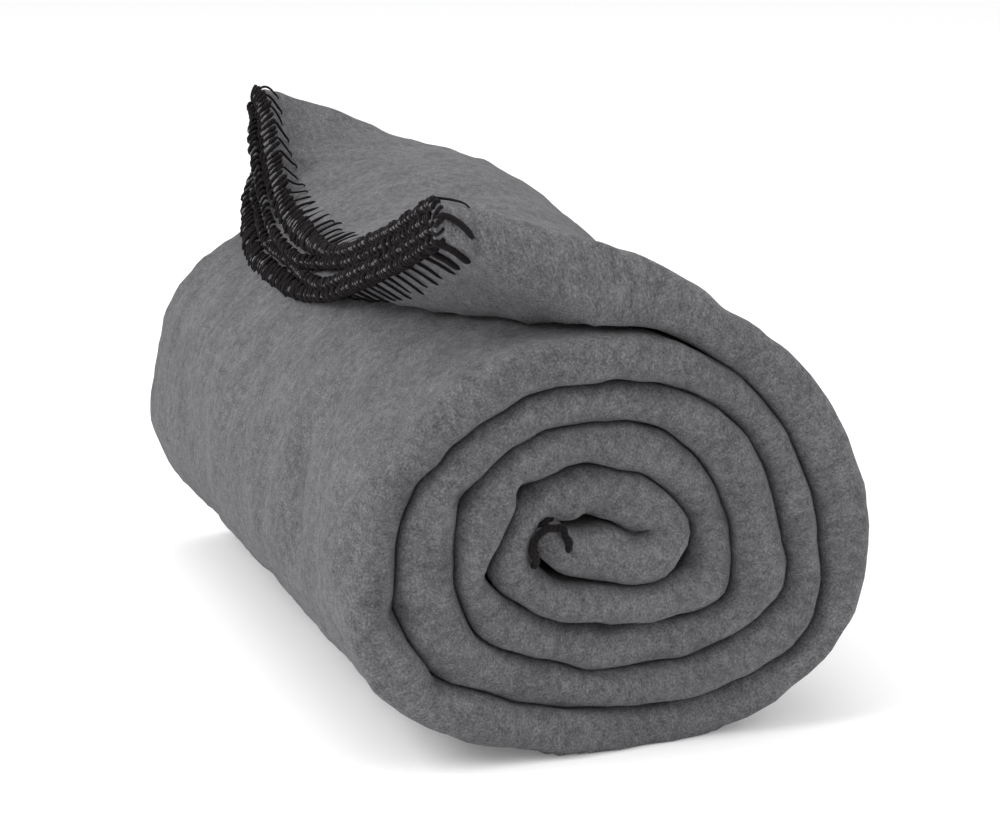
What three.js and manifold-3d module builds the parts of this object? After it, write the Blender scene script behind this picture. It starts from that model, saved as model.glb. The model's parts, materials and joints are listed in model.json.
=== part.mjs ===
import * as THREE from 'three';
import Module from 'manifold-3d';

// A fleece throw, 1270 x 1524 mm, folded in half lengthwise twice to a strip four plies deep and 317.5 mm wide,
// then rolled up along its length. Its two 1270 mm ends carry a black whip stitch. Units are millimetres. The roll
// lies along Y with its folded lips towards -Y, +Z is up and the roll rests on Z = 0.

const STRIP = 317.5; // width of the folded strip, a quarter of the 1270 mm side
const PLY = 2.6; // thickness of the fleece
const TURN_GAP = 0.4; // air between two turns
const LIP_V = 9.0; // where the plies stop being straight and turn round at the near lips
const FAR_V = 315.0; // the same at the far fold, which joins the two inner plies
const SAG = 1.4; // the roll's own weight presses this much of its underside flat
const HINGE_GAP = 0.35; // air at the bend line, where the loose end starts
const STITCH_PITCH = 8.5;
const STITCH_DEPTH = 11;
const YARN = 1.6;

// Centre line of the rolled stack from the bend line at the top right to the inner end: x, z and the depth of the
// stack there. It runs clockwise seen from -Y.
const TURNS = [
  [32.9, 143.0, 14.2], [51.9, 129.5, 13.6], [64.6, 116.1, 13.6], [74.2, 100.8, 13.9], [80.7, 83.4, 14.7], [83.7, 65.5, 14.4],
  [83.1, 51.2, 14.0], [79.8, 39.8, 14.0], [74.0, 30.4, 14.2], [65.2, 22.1, 14.4], [51.3, 14.1, 14.4], [33.8, 8.2, 14.4],
  [13.5, 5.4, 13.6], [-10.2, 6.1, 13.4], [-33.7, 10.3, 13.4], [-53.8, 17.2, 14.9], [-66.9, 24.7, 15.7], [-75.4, 33.2, 16.7],
  [-81.7, 43.4, 16.8], [-84.9, 54.1, 16.8], [-85.2, 67.8, 16.3], [-82.0, 86.9, 15.4], [-77.0, 99.7, 14.8], [-69.4, 110.2, 14.5],
  [-57.3, 120.6, 14.4], [-42.0, 129.2, 14.4], [-25.2, 134.4, 14.5], [-7.1, 136.4, 14.4], [9.4, 134.8, 14.0], [24.2, 129.8, 13.8],
  [39.2, 121.1, 13.7], [50.3, 110.9, 13.4], [58.5, 98.8, 13.8], [64.7, 82.7, 14.6], [68.5, 63.5, 14.3], [68.5, 52.9, 13.9],
  [66.1, 45.4, 14.0], [61.4, 38.8, 14.2], [53.5, 32.4, 14.2], [40.2, 26.3, 14.2], [20.1, 21.3, 14.2], [-0.7, 19.8, 13.4],
  [-18.8, 21.8, 13.4], [-38.9, 28.4, 14.6], [-52.3, 35.1, 15.4], [-59.4, 41.6, 16.3], [-64.3, 49.8, 15.5], [-67.1, 59.7, 14.7],
  [-67.2, 73.5, 14.7], [-64.7, 87.4, 15.4], [-60.5, 96.3, 14.8], [-53.2, 104.3, 13.8], [-41.3, 112.5, 13.5], [-27.0, 118.2, 13.5],
  [-10.1, 121.0, 13.7], [5.0, 120.5, 14.1], [17.9, 116.8, 13.8], [29.9, 109.9, 13.8], [39.1, 101.4, 14.0], [45.5, 91.2, 14.3],
  [50.4, 76.1, 14.7], [52.3, 62.7, 15.1], [51.5, 55.1, 16.1], [48.8, 49.7, 15.5], [44.3, 45.1, 14.5], [36.5, 40.8, 13.6],
  [21.9, 36.9, 13.6], [1.3, 35.1, 13.8], [-16.1, 36.9, 14.0], [-31.3, 41.8, 14.0], [-40.9, 47.5, 14.1], [-47.2, 54.1, 14.2],
  [-50.8, 60.7, 14.2], [-51.9, 67.4, 13.4], [-50.7, 75.9, 13.1], [-46.2, 87.6, 13.1], [-41.0, 95.1, 13.7], [-34.2, 100.3, 13.4],
  [-23.7, 104.4, 13.5], [-10.8, 106.4, 13.7], [2.7, 105.1, 14.5], [13.6, 101.4, 14.6], [22.2, 95.6, 13.8], [28.9, 87.8, 13.8],
  [33.2, 78.7, 14.3], [34.9, 69.8, 15.6], [34.4, 63.1, 16.4], [32.5, 58.4, 16.0], [29.3, 54.9, 14.3], [24.4, 52.2, 13.6],
  [15.4, 50.3, 13.4], [-2.2, 50.4, 14.2], [-19.3, 53.2, 14.0], [-28.3, 57.0, 14.1], [-33.6, 61.2, 14.2], [-36.4, 65.3, 14.2],
  [-37.5, 69.3, 13.3], [-37.2, 73.5, 12.9], [-35.2, 78.0, 12.8], [-31.2, 82.7, 12.8], [-24.8, 86.8, 12.9], [-15.8, 89.6, 13.2],
  [-5.3, 90.0, 13.2], [5.2, 87.9, 12.4], [11.7, 84.7, 12.4], [15.3, 81.6, 12.4], [16.9, 78.8, 12.4], [17.4, 76.2, 12.4],
  [17.0, 73.9, 12.4], [15.7, 71.8, 12.4], [13.4, 70.0, 12.4], [9.4, 68.7, 12.4], [1.9, 68.4, 12.4], [-22.4, 72.5, 12.4],
];

// Centre line of the loose end, from the bend line to the stitched edge: it leaves the roll and lies over its top.
const LOOSE = [
  [24.2, 147.8], [14, 151.2], [4, 152.9], [-8, 153.5], [-20, 152.6], [-32, 150.6], [-44, 147.6], [-53, 144.3], [-61.5, 140.2],
];
// Where the four plies run across the stitched edge, as [distance across the strip, y, height over the centre line].
// The near side is curled up, the middle is low, and at the far side the upper two plies stand up in a peak.
const COMMON = [[0, 17, 41], [9, 25.3, 38.7], [40, 54, 31], [80, 91, 21], [115, 124, 11.6], [150, 157.3, 3.7], [180, 187, 0.7]];
const LOWER = [[150, 157, -0.4], [180, 186.8, -3.7], [218, 224.8, -4.2], [250, 256.6, -3.8], [275, 281, -0.8], [292, 296, 6], [304, 301.5, 16], [315, 299.5, 26.5]];
const UPPER = [[150, 157.6, 7.8], [180, 187.4, 5.6], [218, 225, 7], [242, 248, 12.5], [261, 264.5, 20.5], [277, 277, 29.5], [291, 286, 38.5], [305, 295, 46.5], [317.5, 304.5, 51]];
const CURL_POWER = 1.3; // how the near curl dies away towards the bend line
const PEAK_POWER = 0.95; // the same for the peak at the far side
const REACH = 4; // the slope across the strip is taken over this distance each way
const EDGE_SKEW = 16; // how far the peak lags behind the near corner along the strip

const lerp = (a, b, f) => a + (b - a) * f;
const smooth = (x) => { const c = Math.min(1, Math.max(0, x)); return c * c * (3 - 2 * c); };

function at(table, v) {
  let i = 0;
  while (i < table.length - 2 && v > table[i + 1][0]) i++;
  const [a, b] = [table[i], table[i + 1]];
  const f = (v - a[0]) / (b[0] - a[0]);
  return [lerp(a[1], b[1], f), lerp(a[2], b[2], f)];
}

function frames(points) {
  return points.map((p, i) => {
    const a = points[Math.max(0, i - 1)];
    const b = points[Math.min(points.length - 1, i + 1)];
    const l = Math.hypot(b[0] - a[0], b[1] - a[1]);
    const t = [(b[0] - a[0]) / l, (b[1] - a[1]) / l];
    return { p, t, n: [-t[1], t[0]] };
  });
}

// The sheet across the strip at a ply spacing p: it runs from the free edge of the outermost ply to the near lip,
// round it to the innermost ply, round the far fold, back to the inner near lip and out to the other free edge.
// Each sample holds its place in the stack (v, w), the direction its outer face points (nv, nw) and its length along the sheet.
function sheet(p, vs, arcs) {
  const out = [];
  const flat = (list, w, dir) => list.forEach((v) => out.push({ v, w, nv: 0, nw: dir }));
  const turn = (cv, cw, r, from, to, steps, dir) => {
    for (let k = 1; k < steps; k++) {
      const g = lerp(from, to, k / steps);
      const [c, s] = [Math.cos(g), Math.sin(g)];
      out.push({ v: cv + r * c, w: cw + r * s, nv: dir * c, nw: dir * s });
    }
  };
  const inner = vs.filter((v) => v > LIP_V && v < FAR_V);
  const back = [...inner].reverse();
  flat([STRIP, ...back, LIP_V], 1.5 * p, 1);
  turn(LIP_V, 0, 1.5 * p, Math.PI / 2, (3 * Math.PI) / 2, arcs, 1);
  flat([LIP_V, ...inner, FAR_V], -1.5 * p, -1);
  turn(FAR_V, -p, 0.5 * p, -Math.PI / 2, Math.PI / 2, arcs - 1, 1);
  flat([FAR_V, ...back, LIP_V], -0.5 * p, 1);
  turn(LIP_V, 0, 0.5 * p, (3 * Math.PI) / 2, Math.PI / 2, arcs - 1, -1);
  flat([LIP_V, ...inner, STRIP], 0.5 * p, -1);
  let s = 0;
  out.forEach((q, i) => {
    if (i) s += Math.hypot(q.v - out[i - 1].v, q.w - out[i - 1].w);
    q.s = s;
  });
  return out;
}

// A closed body from rings of equal length, with both ends capped by the given triangles.
function skin(rings, cap) {
  const n = rings[0].length;
  const pos = rings.flat();
  const tri = [];
  for (let r = 0; r + 1 < rings.length; r++) {
    for (let i = 0; i < n; i++) {
      const j = (i + 1) % n;
      const [a, b, c, d] = [r * n + i, r * n + j, (r + 1) * n + i, (r + 1) * n + j];
      tri.push(a, c, b, b, c, d);
    }
  }
  const last = (rings.length - 1) * n;
  cap.forEach(([a, b, c]) => {
    tri.push(a, b, c);
    tri.push(last + a, last + c, last + b);
  });
  return outward(pos, tri);
}

function outward(pos, tri) {
  let volume = 0;
  const v = pos.map((q) => new THREE.Vector3(...q));
  for (let i = 0; i < tri.length; i += 3) volume += v[tri[i]].dot(v[tri[i + 1]].clone().cross(v[tri[i + 2]]));
  if (volume < 0) for (let i = 0; i < tri.length; i += 3) [tri[i + 1], tri[i + 2]] = [tri[i + 2], tri[i + 1]];
  return { pos, tri };
}

function capOf(outline) {
  const points = outline.map(([x, y]) => new THREE.Vector2(x, y));
  const way = Math.sign(THREE.ShapeUtils.area(points));
  return THREE.ShapeUtils.triangulateShape(points, []).map(([a, b, c]) => {
    const turn = Math.sign(THREE.ShapeUtils.area([points[a], points[b], points[c]]));
    return turn === way ? [a, b, c] : [a, c, b];
  });
}

function geometry({ pos, tri }) {
  const g = new THREE.BufferGeometry();
  g.setAttribute('position', new THREE.Float32BufferAttribute(pos.flat(), 3));
  g.setIndex(tri);
  g.computeVertexNormals();
  return g;
}

const faces = (list, half) => [
  ...list.map((q) => [q.v + q.nv * half, q.w + q.nw * half]),
  ...[...list].reverse().map((q) => [q.v - q.nv * half, q.w - q.nw * half]),
];

// The cut end of the sheet: pairs of faces() points across its thickness.
function edge(samples) {
  const last = 2 * samples - 1;
  const out = [];
  for (let i = 0; i + 1 < samples; i++) out.push([i, i + 1, last - i - 1], [i, last - i - 1, last - i]);
  return out;
}

const spacing = (depth) => (depth - TURN_GAP - PLY) / 3;

// The rolled part of the panel.
const rollFrames = frames(TURNS);
const rollSheet = (i) => sheet(spacing(TURNS[i][2]), [], 4);
function inRoll(i, v, w) {
  const { p, n } = rollFrames[i];
  const z = p[1] + n[1] * w;
  return [p[0] + n[0] * w, v - STRIP / 2, z < SAG ? 0 : z];
}
const rollRings = TURNS.map((_, i) => faces(rollSheet(i), PLY / 2).map(([v, w]) => inRoll(i, v, w)));
const rollGeometry = geometry(skin(rollRings, edge(rollSheet(0).length)));

// The loose end.
const start = rollFrames[0];
const P0 = spacing(TURNS[0][2]);
const loosePoints = [[start.p[0] - start.t[0] * HINGE_GAP, start.p[1] - start.t[1] * HINGE_GAP], ...LOOSE];
const run = [0];
for (let i = 1; i < loosePoints.length; i++) {
  run.push(run[i - 1] + Math.hypot(loosePoints[i][0] - loosePoints[i - 1][0], loosePoints[i][1] - loosePoints[i - 1][1]));
}
const LENGTH = run[run.length - 1];
function along(f) {
  const d = Math.min(f, 1) * LENGTH;
  let i = 0;
  while (i < run.length - 2 && d > run[i + 1]) i++;
  const k = (d - run[i]) / (run[i + 1] - run[i]);
  const mix = (a, b) => [lerp(a[0], b[0], k), lerp(a[1], b[1], k)];
  const upright = smooth(f / 0.4);
  const n = [lerp(start.n[0], 0, upright), lerp(start.n[1], 1, upright)];
  const l = Math.hypot(...n);
  return { p: mix(loosePoints[i], loosePoints[i + 1]), n: [n[0] / l, n[1] / l] };
}
function grow(f, v) {
  const curl = f ** CURL_POWER;
  const peak = f ** PEAK_POWER;
  return lerp(curl, peak, smooth((v - 130) / 60));
}
function section(f, v, side) {
  const g = grow(f, v);
  const flat = side * P0;
  if (side === 0 || v <= 150) {
    const e = at(COMMON, v);
    const c = [lerp(v, e[0], g), lerp(0, e[1], g)];
    if (side === 0) return c;
    const a = section(f, v - REACH, 0);
    const b = section(f, v + REACH, 0);
    const l = Math.hypot(b[0] - a[0], b[1] - a[1]);
    return [c[0] - ((b[1] - a[1]) / l) * flat, c[1] + ((b[0] - a[0]) / l) * flat];
  }
  const e = at(side > 0 ? UPPER : LOWER, v);
  return [lerp(v, e[0], g), lerp(flat, e[1] + (side > 0 ? 0 : 0), g)];
}
function inLoose(f, v, w, u = 0) {
  const side = v < LIP_V ? 0 : Math.sign(w);
  const anchor = v < LIP_V ? LIP_V : side < 0 ? Math.min(v, FAR_V) : Math.min(v, STRIP);
  const c = section(f, anchor, side);
  const a = section(f, anchor - REACH, side);
  const b = section(f, Math.min(anchor + REACH, STRIP), side);
  const l = Math.hypot(b[0] - a[0], b[1] - a[1]);
  const t = [(b[0] - a[0]) / l, (b[1] - a[1]) / l];
  const off = w - side * P0;
  const y = c[0] - t[1] * off + t[0] * (v - anchor);
  const h = c[1] + t[0] * off + t[1] * (v - anchor);
  const even = (EDGE_SKEW * Math.max(v, 0)) / STRIP;
  const lag = side < 0 && v > 120 ? Math.max(0, even - ((v - 120) / 120) * 12) : even;
  const { p, n } = along(f * (1 - lag / LENGTH));
  return [p[0] + n[0] * h + u, y - STRIP / 2, p[1] + n[1] * h];
}
const LOOSE_V = [24, 40, 60, 80, 98, 115, 132, 150, 165, 180, 199, 218, 230, 242, 252, 261, 269, 277, 284, 291, 298, 304, 310];
const looseSheet = sheet(P0, LOOSE_V, 5);
const LOOSE_AT = [0, 0.1, 0.22, 0.36, 0.5, 0.64, 0.78, 0.9, 1];
const looseRings = LOOSE_AT.map((f) => faces(looseSheet, PLY / 2).map(([v, w]) => inLoose(f, v, w)));
const looseGeometry = geometry(skin(looseRings, edge(looseSheet.length)));

// The whip stitch: a cord along the edge, and bars that reach over the outer face of the sheet.
const wasm = await Module();
wasm.setup();
const solid = ({ pos, tri }) => new wasm.Manifold(new wasm.Mesh({
  numProp: 3, vertProperties: new Float32Array(pos.flat()), triVerts: new Uint32Array(tri),
}));
const quad = [[0, 1, 2], [0, 2, 3]];
const CORD = [[0.5, 1.5], [1.75, 1.5], [1.75, -1.5], [0.5, -1.5]];

function between(list, s) {
  let i = 0;
  while (i < list.length - 2 && s > list[i + 1].s) i++;
  const [a, b] = [list[i], list[i + 1]];
  const k = (s - a.s) / (b.s - a.s);
  const q = { v: lerp(a.v, b.v, k), w: lerp(a.w, b.w, k), nv: lerp(a.nv, b.nv, k), nw: lerp(a.nw, b.nw, k) };
  const l = Math.hypot(q.nv, q.nw);
  return { ...q, nv: q.nv / l, nw: q.nw / l };
}

// over() puts a point of the stitching in space: the sheet sample, its height over the sheet's middle and its reach
// in from the edge, which is negative outside the edge.
function stitching(list, over, barsTo) {
  const rings = list.map((q) => CORD.map(([u, h]) => over(q, h, -u)));
  const parts = [solid(skin(rings, quad))];
  const barOutline = [[-1.6, 0.9], [-1.6, 3.1], [STITCH_DEPTH, 3.0], [STITCH_DEPTH, 2.0], [-0.6, 2.0], [-0.6, 0.9]];
  const cap = capOf(barOutline);
  for (let s = STITCH_PITCH; s < barsTo - 3; s += STITCH_PITCH) {
    const sides = [s - YARN / 2, s + YARN / 2].map((d) => barOutline.map(([u, h]) => over(between(list, d), h, u)));
    parts.push(solid(skin(sides, cap)));
  }
  const joined = parts.reduce((a, b) => a.add(b));
  const mesh = joined.getMesh();
  const pos = [];
  for (let i = 0; i < mesh.numVert; i++) pos.push([...mesh.vertProperties.slice(i * mesh.numProp, i * mesh.numProp + 3)]);
  return geometry(outward(pos, [...mesh.triVerts]));
}

const outerGeometry = stitching(
  looseSheet,
  (q, h, u) => (u > 0 ? inLoose(1 - u / LENGTH, q.v + q.nv * h, q.w + q.nw * h) : inLoose(1, q.v + q.nv * h, q.w + q.nw * h, u)),
  looseSheet.find((q) => q.nw < -0.9 && q.v > 150).s,
);

const end = rollFrames[rollFrames.length - 1];
const innerSheet = sheet(spacing(TURNS[TURNS.length - 1][2]), [80, 160, 240], 5);
const innerGeometry = stitching(
  innerSheet,
  (q, h, u) => {
    const p = inRoll(rollFrames.length - 1, q.v + q.nv * h, q.w + q.nw * h);
    return [p[0] - end.t[0] * u, p[1], p[2] - end.t[1] * u];
  },
  0,
);

const FLEECE = 0x6e6e71;
const THREAD = 0x171518;
const group = new THREE.Group();
function add(name, geo, color) {
  const mesh = new THREE.Mesh(geo, new THREE.MeshStandardMaterial({ color, roughness: 1, metalness: 0 }));
  mesh.name = name;
  group.add(mesh);
}
add('fleece_roll', rollGeometry, FLEECE);
add('fleece_loose_end', looseGeometry, FLEECE);
add('outer_end_stitching', outerGeometry, THREAD);
add('inner_end_stitching', innerGeometry, THREAD);

export default group;
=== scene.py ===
# A grey fleece throw, 1.27 x 1.524 m, folded in four lengthwise to a 317.5 mm strip and rolled up. The two 1.27 m ends
# carry a black whip stitch. Lengths below are millimetres in the CAD frame and become metres when a mesh is made.
import json
import math

import bpy
import numpy as np
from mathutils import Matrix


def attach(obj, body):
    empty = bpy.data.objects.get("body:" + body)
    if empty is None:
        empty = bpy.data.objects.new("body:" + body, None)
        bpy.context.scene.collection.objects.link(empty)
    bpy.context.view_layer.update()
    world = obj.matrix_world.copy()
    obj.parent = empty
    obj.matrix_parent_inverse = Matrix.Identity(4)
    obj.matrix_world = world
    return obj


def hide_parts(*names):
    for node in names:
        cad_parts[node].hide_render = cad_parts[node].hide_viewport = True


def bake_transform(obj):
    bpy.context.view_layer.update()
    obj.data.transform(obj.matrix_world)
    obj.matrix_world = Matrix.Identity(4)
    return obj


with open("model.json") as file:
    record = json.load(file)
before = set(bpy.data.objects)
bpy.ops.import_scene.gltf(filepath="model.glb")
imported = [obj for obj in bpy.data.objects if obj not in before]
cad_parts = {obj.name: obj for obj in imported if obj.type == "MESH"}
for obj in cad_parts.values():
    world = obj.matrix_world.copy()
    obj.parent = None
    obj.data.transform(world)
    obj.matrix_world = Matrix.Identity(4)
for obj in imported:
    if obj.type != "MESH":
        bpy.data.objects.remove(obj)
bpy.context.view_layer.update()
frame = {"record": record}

STRIP = 317.5
PLY = 2.6
LIP_V = 9.0
FAR_V = 315.0
rng = np.random.default_rng(7)

# ---------------------------------------------------------------- camera
cam = bpy.data.cameras.new("camera")
cam.lens, cam.sensor_width, cam.sensor_fit = 93.6, 36.0, "HORIZONTAL"
cam.clip_start, cam.clip_end = 0.01, 100
eye = bpy.data.objects.new("camera", cam)
bpy.context.scene.collection.objects.link(eye)
eye.location = (-0.31246, -0.93093, 0.3108)
eye.rotation_euler = (math.radians(76.881), 0, math.radians(-19.176))
bpy.context.scene.camera = eye


# ---------------------------------------------------------------- helpers
def smooth(x):
    c = np.clip(x, 0, 1)
    return c * c * (3 - 2 * c)


def lerp(a, b, f):
    return a + (b - a) * f


def spline(xk, yk, x):
    """A curve through (xk, yk), straight beyond both ends. yk may have several columns."""
    xk, yk = np.asarray(xk, float), np.asarray(yk, float)
    x = np.asarray(x, float)
    m = np.gradient(yk, xk, axis=0)
    i = np.clip(np.searchsorted(xk, x) - 1, 0, len(xk) - 2)
    h = xk[i + 1] - xk[i]
    t = np.clip((x - xk[i]) / h, 0, 1)
    if yk.ndim > 1:
        h, t = h[..., None], t[..., None]
    out = (
        (2 * t**3 - 3 * t**2 + 1) * yk[i]
        + (t**3 - 2 * t**2 + t) * h * m[i]
        + (-2 * t**3 + 3 * t**2) * yk[i + 1]
        + (t**3 - t**2) * h * m[i + 1]
    )
    lo, hi = np.minimum(x - xk[0], 0), np.maximum(x - xk[-1], 0)
    if yk.ndim > 1:
        lo, hi = lo[..., None], hi[..., None]
    return out + lo * m[0] + hi * m[-1]


def waves(n, low, high, seed, dims=3):
    """A smooth seeded noise made of plane waves with wavelengths between low and high mm."""
    r = np.random.default_rng(seed)
    d = r.normal(size=(n, dims))
    d /= np.linalg.norm(d, axis=1)[:, None]
    k = d * (2 * np.pi / np.exp(r.uniform(np.log(low), np.log(high), n)))[:, None]
    ph = r.uniform(0, 2 * np.pi, n)

    def value(p):
        p = np.asarray(p, float)
        flat = p.reshape(-1, dims)
        out = np.zeros(len(flat))
        for a, b in zip(k, ph):
            out += np.sin(flat @ a + b)
        return (out / math.sqrt(n / 2)).reshape(p.shape[:-1])

    return value


def unit(v):
    return v / np.maximum(np.linalg.norm(v, axis=-1, keepdims=True), 1e-9)


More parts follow.
